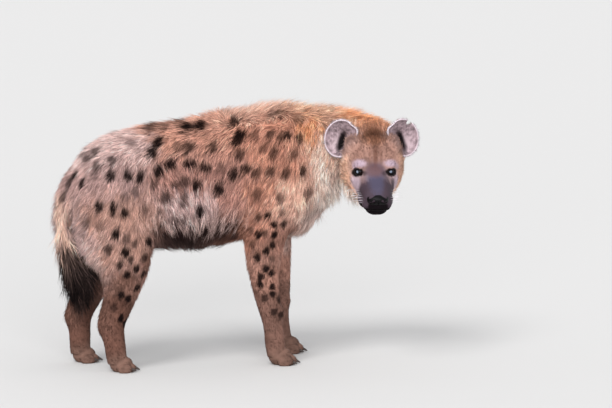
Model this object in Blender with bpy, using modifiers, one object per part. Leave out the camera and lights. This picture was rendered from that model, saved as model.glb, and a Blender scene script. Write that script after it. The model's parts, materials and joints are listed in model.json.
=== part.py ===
"""A spotted hyena, life size, standing with its head turned to its right.

Metres, +Z up. The body runs along +X and the head looks towards -Y. The body is modelled
whole, from swept sections and rounded muscle forms, and is then parted with thin cuts.
"""

import math
import random

import bmesh
import bpy
import numpy as np
from mathutils import Matrix, Vector
from mathutils.bvhtree import BVHTree

# The gap that touching pieces keep.
GAP = 0.0003
SOLVER = "EXACT"
# A length that reaches past the whole body.
REACH = 1.0

# Colour of each kind of piece.
COLOURS = {
    "torso": (0.40, 0.24, 0.17),
    "neck": (0.50, 0.30, 0.20),
    "head": (0.42, 0.25, 0.17),
    "muzzle": (0.06, 0.05, 0.055),
    "ear": (0.34, 0.26, 0.24),
    "eye": (0.03, 0.018, 0.012),
    "foreleg": (0.30, 0.19, 0.14),
    "hindleg": (0.30, 0.19, 0.14),
    "paw": (0.24, 0.16, 0.12),
    "tail": (0.05, 0.035, 0.03),
}
ROUGHNESS = 0.8

# How finely the whole body is drawn, and how far it is thinned after that.
BODY_VOXEL = 0.005
BODY_SMOOTH_STEPS = 30
ALL_SMOOTH_STEPS = 7
BODY_KEPT = 0.0230
HEAD_WEIGHT = 0.83
PAW_WEIGHT = 0.92
PAW_TOP = 0.080

# A torso station is x, half-width, height of the widest place, top, bottom, squareness.
# Where the coat is long this is its dense part, and the locks stand out from it.
TORSO = (
    (-0.392, 0.034, 0.548, 0.574, 0.520, 1.0),
    (-0.378, 0.068, 0.545, 0.598, 0.480, 1.0),
    (-0.345, 0.100, 0.545, 0.636, 0.435, 0.97),
    (-0.290, 0.120, 0.550, 0.690, 0.405, 0.95),
    (-0.220, 0.130, 0.555, 0.733, 0.388, 0.94),
    (-0.120, 0.138, 0.545, 0.755, 0.372, 0.93),
    (0.000, 0.150, 0.530, 0.763, 0.366, 0.93),
    (0.110, 0.155, 0.525, 0.771, 0.374, 0.93),
    (0.210, 0.152, 0.545, 0.784, 0.386, 0.94),
    (0.290, 0.140, 0.570, 0.792, 0.380, 0.96),
    (0.360, 0.124, 0.580, 0.788, 0.390, 0.98),
    (0.410, 0.098, 0.590, 0.770, 0.466, 1.0),
    (0.436, 0.064, 0.610, 0.720, 0.530, 1.0),
)

# A neck station is x, y, z, half-width, reach up, reach down, squareness.
NECK = (
    (0.300, 0.000, 0.610, 0.125, 0.180, 0.165, 1.0),
    (0.385, 0.006, 0.628, 0.116, 0.160, 0.146, 1.0),
    (0.455, 0.012, 0.645, 0.106, 0.134, 0.104, 1.0),
    (0.515, 0.006, 0.658, 0.104, 0.106, 0.096, 1.0),
    (0.558, -0.022, 0.660, 0.102, 0.090, 0.092, 1.0),
    (0.577, -0.066, 0.653, 0.098, 0.084, 0.090, 1.0),
    (0.574, -0.108, 0.647, 0.094, 0.080, 0.090, 1.0),
    (0.568, -0.142, 0.640, 0.084, 0.074, 0.082, 1.0),
)

# The head's own frame: x runs from the back of the skull to the nose, y to its left, z up.
HEAD_AT = Vector((0.5668, -0.0777, 0.6368))
HEAD_TURN = math.radians(-100)
HEAD_NOD = math.radians(20)
HEAD_FRAME = (
    Matrix.Translation(HEAD_AT)
    @ Matrix.Rotation(HEAD_TURN, 4, "Z")
    @ Matrix.Rotation(HEAD_NOD, 4, "Y")
)

# A head station is x, centre height, half-width, reach up, reach down, squareness.
HEAD = (
    (-0.010, 0.005, 0.066, 0.072, 0.072, 1.0),
    (0.025, 0.008, 0.090, 0.096, 0.096, 0.98),
    (0.065, 0.008, 0.100, 0.107, 0.106, 1.0),
    (0.105, 0.004, 0.096, 0.105, 0.102, 0.98),
    (0.140, 0.000, 0.080, 0.092, 0.087, 0.95),
    (0.165, -0.004, 0.067, 0.072, 0.076, 0.92),
    (0.190, -0.007, 0.058, 0.055, 0.064, 0.90),
    (0.215, -0.009, 0.050, 0.048, 0.053, 0.88),
    (0.240, -0.010, 0.046, 0.044, 0.045, 0.87),
    (0.262, -0.010, 0.043, 0.040, 0.038, 0.88),
    (0.279, -0.008, 0.034, 0.031, 0.030, 0.92),
    (0.289, -0.006, 0.018, 0.017, 0.017, 1.0),
)

# Muscle and bone forms that stand out on the head, in its frame: centre, then radii.
# Each is made on both sides.
HEAD_FORMS = (
    # brow
    ((0.152, 0.043, 0.054), (0.030, 0.022, 0.012)),
    # cheekbone
    ((0.128, 0.062, 0.006), (0.042, 0.018, 0.022)),
    # jaw muscle
    ((0.084, 0.050, -0.034), (0.052, 0.037, 0.050)),
    # temple
    ((0.075, 0.050, 0.070), (0.050, 0.036, 0.038)),
    # upper lip
    ((0.252, 0.026, -0.026), (0.034, 0.021, 0.021)),
    # chin
    ((0.240, 0.006, -0.047), (0.034, 0.031, 0.022)),
    # corner of the lips
    ((0.208, 0.034, -0.036), (0.042, 0.021, 0.024)),
    # wing of the nose
    ((0.279, 0.014, 0.002), (0.013, 0.017, 0.015)),
)

# Eyes, in the head's frame.
EYE_AT = Vector((0.162, 0.0455, 0.037))
EYE_RADIUS = 0.0150
EYE_OUTWARD = math.radians(25)
EYE_TILT = math.radians(8)
LID_THICKNESS = 0.0024
LID_OPENING = (0.030, 0.0138, 0.0098)
EYE_SIDES = 14

# Nostrils, in the head's frame: centre, radii. Each is made on both sides.
NOSTRIL_FORMS = (
    ((0.292, 0.0135, 0.001), (0.012, 0.0050, 0.0058)),
    ((0.287, 0.0215, -0.004), (0.012, 0.0075, 0.0024)),
)
NOSE_GROOVE = ((0.294, 0.0, -0.012), (0.007, 0.0011, 0.014))

# The mouth line, as rays about an upright axis in the head: the angle from straight
# ahead and the height. It is cut as a thin groove into the surface.
MOUTH_AXIS_X = 0.205
MOUTH_LINE = (
    (0, -0.030),
    (12, -0.0305),
    (24, -0.0325),
    (40, -0.036),
    (60, -0.038),
    (85, -0.038),
    (105, -0.035),
    (117, -0.030),
)
MOUTH_GROOVE = (0.0045, 0.0014)

# Ears: the middle of the bowl, the direction of its length, the direction it opens to,
# in the head's frame for the right ear, then half-length, half-width, depth, thickness.
EAR_AT = Vector((0.045, -0.098, 0.088))
EAR_UP = Vector((-0.30, 0.30, 0.905)).normalized()
EAR_OPEN = Vector((0.86, -0.36, 0.40)).normalized()
EAR_SIZE = (0.062, 0.053)
EAR_DEPTH = 0.034
EAR_THICKNESS = 0.005
EAR_RINGS = 5
EAR_SECTORS = 20
# The left ear has a piece missing from its upper edge: where it is around the edge,
# and its radii outwards, along the edge and through the ear.
EAR_NOTCH_TURN = math.radians(42)
EAR_NOTCH = (0.011, 0.008, 0.030)

# A leg station is z, x, y, half-width, reach forward, reach back. It is the right leg's.
FORELEG = (
    (0.740, 0.285, -0.062, 0.045, 0.060, 0.070),
    (0.660, 0.278, -0.082, 0.062, 0.088, 0.098),
    (0.560, 0.262, -0.092, 0.062, 0.104, 0.104),
    (0.470, 0.240, -0.096, 0.056, 0.090, 0.090),
    (0.400, 0.226, -0.098, 0.048, 0.070, 0.072),
    (0.300, 0.221, -0.100, 0.039, 0.052, 0.053),
    (0.210, 0.233, -0.101, 0.035, 0.043, 0.043),
    (0.130, 0.251, -0.101, 0.032, 0.036, 0.036),
    (0.067, 0.257, -0.101, 0.031, 0.033, 0.033),
    (0.030, 0.262, -0.101, 0.030, 0.032, 0.032),
)
HINDLEG = (
    (0.645, -0.250, -0.055, 0.050, 0.086, 0.064),
    (0.560, -0.258, -0.086, 0.060, 0.125, 0.110),
    (0.450, -0.256, -0.100, 0.052, 0.124, 0.118),
    (0.350, -0.226, -0.104, 0.048, 0.094, 0.090),
    (0.270, -0.229, -0.102, 0.040, 0.065, 0.065),
    (0.215, -0.243, -0.101, 0.034, 0.053, 0.053),
    (0.150, -0.262, -0.100, 0.031, 0.045, 0.048),
    (0.090, -0.254, -0.100, 0.028, 0.036, 0.036),
    (0.050, -0.249, -0.100, 0.028, 0.034, 0.034),
    (0.028, -0.246, -0.100, 0.027, 0.032, 0.032),
)
# Muscle and bone forms of the right legs: centre, radii, lean about Y in degrees.
FORELEG_FORMS = (
    # shoulder blade
    ((0.275, -0.094, 0.630), (0.050, 0.040, 0.120), 14),
    # upper arm
    ((0.275, -0.112, 0.520), (0.085, 0.040, 0.075), 30),
    # elbow
    ((0.170, -0.100, 0.430), (0.030, 0.028, 0.042), -15),
    # wrist
    ((0.260, -0.101, 0.165), (0.030, 0.031, 0.030), 0),
)
HINDLEG_FORMS = (
    # hip
    ((-0.235, -0.080, 0.620), (0.090, 0.044, 0.075), 20),
    # knee
    ((-0.180, -0.106, 0.415), (0.046, 0.034, 0.075), -25),
    # point of the hock
    ((-0.295, -0.100, 0.140), (0.018, 0.015, 0.034), -14),
)
# The left legs are these stations mirrored, and each height of a leg stands this far
# ahead of the right leg's: heights and distances.
LEFT_FORELEG_AHEAD = (
    (0.03, 0.076),
    (0.10, 0.066),
    (0.17, 0.075),
    (0.22, 0.089),
    (0.32, 0.092),
    (0.47, 0.055),
    (0.62, 0.0),
)
LEFT_HINDLEG_AHEAD = ((0.0, -0.072), (0.62, 0.0))
RIGHT_LEG_AHEAD = ((0.0, 0.0),)

# A paw: radii of its pad and toes, and how far ahead the middle toes are.
FORE_PAW = {"pad": (0.040, 0.034, 0.030), "toe": (0.027, 0.0128, 0.019), "reach": 0.036}
HIND_PAW = {"pad": (0.038, 0.030, 0.028), "toe": (0.025, 0.0118, 0.017), "reach": 0.034}
PAD_AHEAD = 0.012
# Toes: how far across, in toe widths, and how far behind the middle toes.
TOES = ((-2.65, 0.017), (-0.95, 0.0), (0.95, 0.0), (2.65, 0.017))
SOLE_SUNK = 0.004
CLAW_LENGTH = 0.020
CLAW_RADII = (0.0052, 0.0016)
CLAW_HEIGHT = 0.0125
CLAW_AHEAD = 0.86
CLAW_DROOP = math.radians(22)

# The tail hangs from the rump: x, y, z, half-width, half-depth behind and ahead,
# squareness.
TAIL = (
    (-0.318, 0.0, 0.622, 0.034, 0.030, 0.034, 1.0),
    (-0.352, 0.0, 0.594, 0.030, 0.030, 0.034, 1.0),
    (-0.379, 0.0, 0.556, 0.025, 0.026, 0.028, 1.0),
    (-0.397, 0.0, 0.508, 0.021, 0.020, 0.021, 1.0),
    (-0.394, 0.0, 0.450, 0.020, 0.019, 0.020, 1.0),
    (-0.383, 0.0, 0.390, 0.022, 0.023, 0.027, 1.0),
    (-0.363, 0.0, 0.332, 0.026, 0.030, 0.040, 1.0),
    (-0.350, 0.0, 0.278, 0.025, 0.029, 0.036, 1.0),
    (-0.345, 0.0, 0.235, 0.016, 0.020, 0.022, 1.0),
    (-0.343, 0.0, 0.205, 0.006, 0.008, 0.008, 1.0),
)
TAIL_ROOT_ROWS = 4
# The cut across the root of the tail: a point on it, and the way towards the tail.
TAIL_CUT_AT = Vector((-0.388, 0.0, 0.540))
TAIL_CUT_LEAN = math.radians(10)
TAIL_CUT = ((-0.045, -0.029, -0.060), (0.021, 0.029, 0.0))

# Cuts that part the body. Each is a box: its lowest corner and its highest.
HEAD_CUT_TURN = math.radians(15)
HEAD_CUT = ((0.045, -0.140, -0.170), (0.400, 0.160, 0.200))
MUZZLE_CUT = ((0.192, -0.150, -0.150), (0.400, 0.150, 0.150))
NECK_CUT = ((0.372, -0.400, 0.352), (0.800, 0.300, 1.000))
FORELEG_CUT = ((0.100, -0.250, -0.050), (0.420, -0.030, 0.350))
HINDLEG_CUT = ((-0.450, -0.250, -0.050), (-0.090, -0.012, 0.346))
PAW_CUT = ((-0.450, -0.250, -0.050), (0.450, 0.250, 0.060))
HEAD_CUT_FRAME = HEAD_FRAME @ Matrix.Rotation(HEAD_CUT_TURN, 4, "Z")

# Locks of the long coat. Each row of locks runs beside a path, from one length along it
# to another, and is spread about it by angles from straight up, or from straight behind
# for the tail and the thighs. Then: steps along the path, locks abreast, length, width,
# thickness, how steeply a lock rises at its root and at its tip, which way along the
# path it lies, and how much it hangs.
LOCK_SEED = 11
LOCK_RINGS = ((0.0, 0.80), (0.36, 1.0), (0.70, 0.66))
LOCK_BENDS = 12
# How far a lock's root is set into the body, and set back along its lie.
LOCK_SUNK = (0.006, 0.004)
# How much locks differ in length and in direction, and in place: every other row is
# staggered, and each lock is scattered, by a share of the room it has.
LOCK_SPREAD = 0.16
LOCK_YAW = 0.14
LOCK_STAGGER = 0.22
LOCK_SCATTER = 0.12
# Locks keep this far from the middles of the ears.
EAR_CLEAR = 0.072
# The paths run this deep below the back and the belly, and start behind the middle.
PATH_DEPTH = 0.10
PATH_START = -0.25
PATH_NUDGE = 0.01
PATH_STEPS = 8
BACK_LOCKS = (
    (0.10, 0.66, -42, 42, 19, 4, 0.052, 0.027, 0.0065, 54, 20, 1.0, 0.0),
)
UNDER_LOCKS = (
    (-0.10, 0.03, -36, 36, 5, 3, 0.042, 0.028, 0.0060, 38, 20, 0.8, 0.5),
    (0.03, 0.16, -36, 36, 4, 3, 0.040, 0.028, 0.0060, 38, 20, -0.8, 0.5),
    (0.33, 0.54, -44, 44, 7, 4, 0.034, 0.030, 0.0060, 26, 12, -0.5, 1.0),
)
TAIL_LOCKS = (
    (0.205, 0.275, -140, 140, 2, 4, 0.085, 0.024, 0.0060, 14, 6, 1.0, 0.4),
    (0.275, 0.415, -150, 150, 6, 4, 0.076, 0.034, 0.0065, 36, 2, 1.0, 0.4),
)
THIGH_LOCKS = ((0.12, 0.28, -48, 48, 4, 3, 0.042, 0.028, 0.0060, 32, 14, 1.0, 0.5),)
# Locks at the sides of the tail rise less than those behind and ahead of it.
TAIL_SIDE_RISE = 0.40


def smooth_rows(rows, per_span):
    """A table's rows and the rows between them, along one smooth curve."""
    rows = np.array(rows, float)
    ends = np.vstack((2 * rows[0] - rows[1], rows, 2 * rows[-1] - rows[-2]))
    found = []
    for a, b, c, d in zip(ends, ends[1:], ends[2:], ends[3:]):
        for t in np.arange(per_span) / per_span:
            bend = (2 * a - 5 * b + 4 * c - d) * t**2 + (3 * b - a - 3 * c + d) * t**3
            found.append(b + 0.5 * ((c - a) * t + bend))
    return np.array(found + [rows[-1]])


def unit(vectors):
    return vectors / np.linalg.norm(vectors, axis=-1, keepdims=True)


def mesh_object(name, points, faces):
    mesh = bpy.data.meshes.new(name)
    mesh.from_pydata([tuple(p) for p in points], [], faces)
    mesh.update()
    obj = bpy.data.objects.new(name, mesh)
    bpy.context.scene.collection.objects.link(obj)
    return obj


def lofted(name, rings):
    """A closed loft through rings of as many points each."""
    count = len(rings[0])
    faces = [tuple(range(count))[::-1]]
    for k in range(len(rings) - 1):
        for i in range(count):
            j = (i + 1) % count
            faces.append(
                (k * count + i, k * count + j, (k + 1) * count + j, (k + 1) * count + i)
            )
    last = (len(rings) - 1) * count
    faces.append(tuple(range(last, last + count)))
    return mesh_object(name, np.concatenate(rings), faces)


def sweep(name, stations, towards, sides=28, per_span=4):
    """A form swept along a path. A station is x, y, z, half-width, reach towards the
    given direction, reach away from it, and a squareness, 1 for an ellipse."""
    rows = smooth_rows(stations, per_span)
    along = unit(np.gradient(rows[:, :3], axis=0))
    across = unit(np.cross(np.array(towards, float), along))
    out = np.cross(along, across)
    turn = np.arange(sides) * 2 * math.pi / sides
    rings = []
    for k, (x, y, z, wide, near, far, square) in enumerate(rows):
        c = np.sign(np.cos(turn)) * np.abs(np.cos(turn)) ** square * wide
        s = np.sign(np.sin(turn)) * np.abs(np.sin(turn)) ** square
        s = np.where(s >= 0, near, far) * s
        rings.append(np.array((x, y, z)) + np.outer(c, across[k]) + np.outer(s, out[k]))
    return lofted(name, rings)


def blob(name, centre, radii, frame=None, segments=24):
    """An ellipsoid, in the frame given."""
    bpy.ops.mesh.primitive_uv_sphere_add(
        segments=segments, ring_count=segments // 2 + 2, radius=1
    )
    obj = bpy.context.object
    obj.name = name
    place = Matrix.Translation(centre) @ Matrix.Diagonal((*radii, 1))
    obj.data.transform((frame or Matrix.Identity(4)) @ place)
    return obj


def leaning_blob(name, centre, radii, lean):
    """An ellipsoid that leans about the Y axis."""
    frame = Matrix.Translation(centre) @ Matrix.Rotation(math.radians(lean), 4, "Y")
    return blob(name, (0, 0, 0), radii, frame)


def torso():
    rows = [
        (x, 0, mid, wide, top - mid, mid - bottom, square)
        for x, wide, mid, top, bottom, square in TORSO
    ]
    return [sweep("torso_form", rows, (0, 0, 1), sides=36)]


def neck():
    return [sweep("neck_form", NECK, (0, 0, 1), sides=32)]


def head():
    rows = [(x, 0, z, wide, up, down, square) for x, z, wide, up, down, square in HEAD]
    made = sweep("head_form", rows, (0, 0, 1), sides=32)
    made.data.transform(HEAD_FRAME)
    forms = [made]
    for (x, y, z), radii in HEAD_FORMS:
        for side in (1, -1):
            forms.append(blob("head_muscle", (x, side * y, z), radii, HEAD_FRAME))
    return forms


def swing(z, ahead):
    """How far a leg's station is moved ahead, by its table of heights and distances."""
    heights, distances = zip(*ahead)
    return float(np.interp(z, heights, distances))


def paw(x, y, size):
    """A paw's pad and toes, before the sole is cut flat."""
    pad_height = size["pad"][2] - SOLE_SUNK
    forms = [blob("pad", (x + PAD_AHEAD, y, pad_height), size["pad"])]
    toe_height = size["toe"][2] - SOLE_SUNK
    for across, behind in TOES:
        centre = (x + size["reach"] - behind, y + across * size["toe"][1], toe_height)
        forms.append(blob("toe", centre, size["toe"]))
    return forms


def leg(stations, muscles, paw_size, side, ahead):
    """One leg and its paw. side is -1 for a right leg and 1 for a left one."""
    rows = [
        (x + swing(z, ahead), -side * y, z, wide, near, far, 1.0)
        for z, x, y, wide, near, far in stations
    ]
    forms = [sweep("leg_form", rows, (1, 0, 0), sides=24)]
    for (x, y, z), radii, lean in muscles:
        centre = (x + swing(z, ahead), -side * y, z)
        forms.append(leaning_blob("leg_muscle", centre, radii, lean))
    foot_x, foot_y = rows[-1][0], rows[-1][1]
    return forms + paw(foot_x, foot_y, paw_size)


def evaluated(obj, name):
    """A new object from an object as its modifiers leave it. The old one is removed."""
    graph = bpy.context.evaluated_depsgraph_get()
    mesh = bpy.data.meshes.new_from_object(obj.evaluated_get(graph))
    mesh.transform(obj.matrix_world)
    made = bpy.data.objects.new(name, mesh)
    bpy.context.scene.collection.objects.link(made)
    bpy.data.objects.remove(obj)
    return made


def joined(name, objects):
    """One object that holds the meshes of several."""
    together = bmesh.new()
    for obj in objects:
        together.from_mesh(obj.data)
        bpy.data.objects.remove(obj)
    mesh = bpy.data.meshes.new(name)
    together.to_mesh(mesh)
    together.free()
    obj = bpy.data.objects.new(name, mesh)
    bpy.context.scene.collection.objects.link(obj)
    return obj


def fused(name, forms, voxel):
    """Forms run together into one smooth closed body."""
    body = joined(name, forms)
    remesh = body.modifiers.new("fuse", "REMESH")
    remesh.mode = "VOXEL"
    remesh.voxel_size = voxel
    return evaluated(body, name)


def softened(body, steps, all_steps):
    """The body made smoother, less so on the head and the paws."""
    group = body.vertex_groups.new(name="soft")
    for vertex in body.data.vertices:
        if not is_fine(vertex.co):
            group.add([vertex.index], 1.0, "REPLACE")
    soft = body.modifiers.new("soften", "SMOOTH")
    soft.vertex_group = group.name
    soft.factor = 0.5
    soft.iterations = steps
    even = body.modifiers.new("even", "SMOOTH")
    even.factor = 0.5
    even.iterations = all_steps
    return evaluated(body, body.name)


def on_head(point):
    """Whether a point lies in the box that the head is cut by."""
    low, high = HEAD_CUT
    at = HEAD_CUT_FRAME.inverted() @ point
    return all(low[i] < at[i] < high[i] for i in range(3))


def is_fine(point):
    return on_head(point) or point.z < PAW_TOP


def body_forms():
    forms = torso() + neck() + head()
    forms.append(sweep("tail_root", TAIL[:TAIL_ROOT_ROWS], (-1, 0, 0), sides=20))
    forms += leg(FORELEG, FORELEG_FORMS, FORE_PAW, -1, RIGHT_LEG_AHEAD)
    forms += leg(FORELEG, FORELEG_FORMS, FORE_PAW, 1, LEFT_FORELEG_AHEAD)
    forms += leg(HINDLEG, HINDLEG_FORMS, HIND_PAW, -1, RIGHT_LEG_AHEAD)
    forms += leg(HINDLEG, HINDLEG_FORMS, HIND_PAW, 1, LEFT_HINDLEG_AHEAD)
    return forms


def thinned(body):
    """The body with fewer faces, which stay finest on the head and the paws."""
    group = body.vertex_groups.new(name="plain")
    for vertex in body.data.vertices:
        weight = 1.0
        if on_head(vertex.co):
            weight = HEAD_WEIGHT
        elif vertex.co.z < PAW_TOP:
            weight = PAW_WEIGHT
        group.add([vertex.index], weight, "REPLACE")
    thin = body.modifiers.new("thin", "DECIMATE")
    thin.ratio = BODY_KEPT
    thin.vertex_group = group.name
    thin.vertex_group_factor = 1.0
    return evaluated(body, body.name)


def clear_scene():
    for obj in list(bpy.data.objects):
        bpy.data.objects.remove(obj)


def ear_frame(side):
    """An ear's frame: x outwards, y along its length, z the way it opens."""
    out = EAR_UP.cross(EAR_OPEN).normalized()
    opening = out.cross(EAR_UP)
    if out.y > 0:
        out = -out
    if opening.x < 0:
        opening = -opening
    turn = Matrix((out, EAR_UP, opening)).transposed().to_4x4()
    flip = Matrix.Diagonal((1, -side, 1, 1))
    return HEAD_FRAME @ flip @ Matrix.Translation(EAR_AT) @ turn


def ear_form(side):
    """A cupped ear, side -1 for the right and 1 for the left."""
    frame = ear_frame(side)
    points = [Vector((0, 0, -EAR_DEPTH))]
    for ring in range(1, EAR_RINGS + 1):
        share = ring / EAR_RINGS
        for i in range(EAR_SECTORS):
            turn = 2 * math.pi * i / EAR_SECTORS
            across = EAR_SIZE[1] * share * math.cos(turn)
            along = EAR_SIZE[0] * share * math.sin(turn)
            points.append(Vector((across, along, -EAR_DEPTH * (1 - share**2))))
    count = EAR_SECTORS
    faces = [(0, 1 + i, 1 + (i + 1) % count) for i in range(count)]
    for ring in range(EAR_RINGS - 1):
        for i in range(count):
            a = 1 + ring * count + i
            b = 1 + ring * count + (i + 1) % count
            faces.append((a, a + count, b + count, b))
    ear = mesh_object("ear_form", [frame @ p for p in points], faces)
    shell = ear.modifiers.new("shell", "SOLIDIFY")
    shell.thickness = EAR_THICKNESS
    shell.offset = 0
    return evaluated(ear, "ear_form")


def ear_notch(side):
    """The form cut from the upper edge of an ear."""
    at = Vector(
        (
            EAR_SIZE[1] * math.cos(EAR_NOTCH_TURN),
            EAR_SIZE[0] * math.sin(EAR_NOTCH_TURN),
            0,
        )
    )
    frame = ear_frame(side) @ Matrix.Translation(at)
    frame = frame @ Matrix.Rotation(EAR_NOTCH_TURN, 4, "Z")
    return blob("notch", (0, 0, 0), EAR_NOTCH, frame, 12)


def boolean(target, tool, operation, name):
    """One object cut by, or joined with, another or a collection of them."""
    step = target.modifiers.new("step", "BOOLEAN")
    step.operation = operation
    step.solver = SOLVER
    if isinstance(tool, bpy.types.Collection):
        step.operand_type = "COLLECTION"
        step.collection = tool
    else:
        step.object = tool
    return evaluated(target, name)


def copied(obj, name):
    made = obj.copy()
    made.data = obj.data.copy()
    made.name = name
    bpy.context.scene.collection.objects.link(made)
    return made


def box(name, low, high, frame=None, grown=0.0):
    """A box between two corners, grown by a gap on every side."""
    low = Vector(low) - Vector((grown,) * 3)
    high = Vector(high) + Vector((grown,) * 3)
    bpy.ops.mesh.primitive_cube_add(size=1)
    obj = bpy.context.object
    obj.name = name
    place = Matrix.Translation((low + high) / 2) @ Matrix.Diagonal((*(high - low), 1))
    obj.data.transform((frame or Matrix.Identity(4)) @ place)
    return obj


def parted(body, low, high, frame, name):
    """The part of a body inside a box, and the rest with a gap left between."""
    inner = box("cut", low, high, frame)
    outer = box("cut", low, high, frame, GAP)
    piece = boolean(copied(body, name), inner, "INTERSECT", name)
    rest = boolean(body, outer, "DIFFERENCE", body.name)
    bpy.data.objects.remove(inner)
    bpy.data.objects.remove(outer)
    return largest(piece), rest


def largest(obj):
    """An object with only its largest closed surface kept."""
    mesh = bmesh.new()
    mesh.from_mesh(obj.data)
    mesh.verts.ensure_lookup_table()
    seen = set()
    groups = []
    for start in mesh.verts:
        if start.index in seen:
            continue
        seen.add(start.index)
        group = [start]
        for vertex in group:
            for edge in vertex.link_edges:
                other = edge.other_vert(vertex)
                if other.index not in seen:
                    seen.add(other.index)
                    group.append(other)
        groups.append(group)
    groups.sort(key=len)
    dropped = [vertex for group in groups[:-1] for vertex in group]
    bmesh.ops.delete(mesh, geom=dropped, context="VERTS")
    mesh.to_mesh(obj.data)
    mesh.free()
    return obj


def mirrored_box(bounds, side):
    """A right side's box, or its mirror image for the left side."""
    (x0, y0, z0), (x1, y1, z1) = bounds
    if side < 0:
        return bounds
    return (x0, -y1, z0), (x1, -y0, z1)


def eye_frame(side):
    """An eye's frame: x out along its gaze, y along the slit of its lids."""
    return (
        HEAD_FRAME
        @ Matrix.Translation((EYE_AT.x, side * EYE_AT.y, EYE_AT.z))
        @ Matrix.Rotation(side * EYE_OUTWARD, 4, "Z")
        @ Matrix.Rotation(side * EYE_TILT, 4, "X")
    )


def with_eyelids(face, side):
    """The head with one eye's lids, its socket and the opening between the lids."""
    frame = eye_frame(side)
    lids = blob("lids", (0, 0, 0), (EYE_RADIUS + LID_THICKNESS,) * 3, frame, EYE_SIDES)
    face = boolean(face, lids, "UNION", face.name)
    socket = blob("socket", (0, 0, 0), (EYE_RADIUS + GAP,) * 3, frame, EYE_SIDES)
    face = boolean(face, socket, "DIFFERENCE", face.name)
    opening = blob("opening", (EYE_RADIUS, 0, 0), LID_OPENING, frame, EYE_SIDES)
    face = boolean(face, opening, "DIFFERENCE", face.name)
    for tool in (lids, socket, opening):
        bpy.data.objects.remove(tool)
    return face


def toe_places(limb, side):
    """Where the middles of a paw's toes are."""
    fore = limb == "foreleg"
    stations = FORELEG if fore else HINDLEG
    size = FORE_PAW if fore else HIND_PAW
    ahead = RIGHT_LEG_AHEAD
    if side > 0:
        ahead = LEFT_FORELEG_AHEAD if fore else LEFT_HINDLEG_AHEAD
    z, x, y = stations[-1][:3]
    foot = Vector((x + swing(z, ahead), -side * y, 0))
    return [
        foot + Vector((size["reach"] - behind, across * size["toe"][1], 0))
        for across, behind in TOES
    ]


def with_claws(foot, limb, side):
    """A paw with a blunt claw on each toe."""
    tools = bpy.data.collections.new("claws")
    bpy.context.scene.collection.children.link(tools)
    length = (FORE_PAW if limb == "foreleg" else HIND_PAW)["toe"][0]
    for toe in toe_places(limb, side):
        wide, narrow = CLAW_RADII
        bpy.ops.mesh.primitive_cone_add(
            vertices=8, radius1=wide, radius2=narrow, depth=CLAW_LENGTH
        )
        claw = bpy.context.object
        place = Matrix.Translation(toe + Vector((length * CLAW_AHEAD, 0, CLAW_HEIGHT)))
        turn = Matrix.Rotation(math.pi / 2 + CLAW_DROOP, 4, "Y")
        claw.data.transform(place @ turn)
        for owner in list(claw.users_collection):
            owner.objects.unlink(claw)
        tools.objects.link(claw)
    foot = boolean(foot, tools, "UNION", foot.name)
    for claw in list(tools.objects):
        bpy.data.objects.remove(claw)
    bpy.data.collections.remove(tools)
    return foot


def mouth_groove(face):
    """A thin ribbon of solid along the mouth line, to be cut from the head."""
    look = BVHTree.FromObject(face, bpy.context.evaluated_depsgraph_get())
    found = []
    right = [(-angle, z) for angle, z in MOUTH_LINE[:0:-1]]
    for angle, z in right + list(MOUTH_LINE):
        turn = math.radians(angle)
        way = Vector((math.cos(turn), math.sin(turn), 0))
        start = HEAD_FRAME @ (Vector((MOUTH_AXIS_X, 0, z)) + way * REACH)
        hit = look.ray_cast(start, HEAD_FRAME.to_3x3() @ -way)[0]
        found.append(HEAD_FRAME.inverted() @ hit)
    deep, high = MOUTH_GROOVE
    rings = []
    for at in found:
        way = Vector((at.x - MOUTH_AXIS_X, at.y, 0)).normalized()
        corners = (way * deep, Vector((0, 0, high)), way * -deep, Vector((0, 0, -high)))
        rings.append(np.array([HEAD_FRAME @ (at + c) for c in corners]))
    return lofted("mouth", rings)


def with_mouth_and_nose(face):
    tools = [mouth_groove(face)]
    for (x, y, z), radii in NOSTRIL_FORMS:
        for side in (1, -1):
            tools.append(blob("nostril", (x, side * y, z), radii, HEAD_FRAME, 12))
    tools.append(blob("groove", *NOSE_GROOVE, HEAD_FRAME, 10))
    for tool in tools:
        face = boolean(face, tool, "DIFFERENCE", face.name)
        bpy.data.objects.remove(tool)
    return face


def grown(obj, distance):
    """A copy of an object with its surface moved outwards."""
    made = copied(obj, "grown")
    move = made.modifiers.new("grow", "DISPLACE")
    move.strength = distance
    move.mid_level = 0.0
    return evaluated(made, "grown")


def coloured(obj, name, colour, roughness):
    """An object under its own name, with its own material."""
    obj.name = name
    obj.data.name = name
    material = bpy.data.materials.new(name)
    material.use_nodes = True
    shader = material.node_tree.nodes["Principled BSDF"]
    shader.inputs["Base Color"].default_value = (*colour, 1.0)
    shader.inputs["Roughness"].default_value = roughness
    shader.inputs["Metallic"].default_value = 0.0
    obj.data.materials.clear()
    obj.data.materials.append(material)
    return obj


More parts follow.
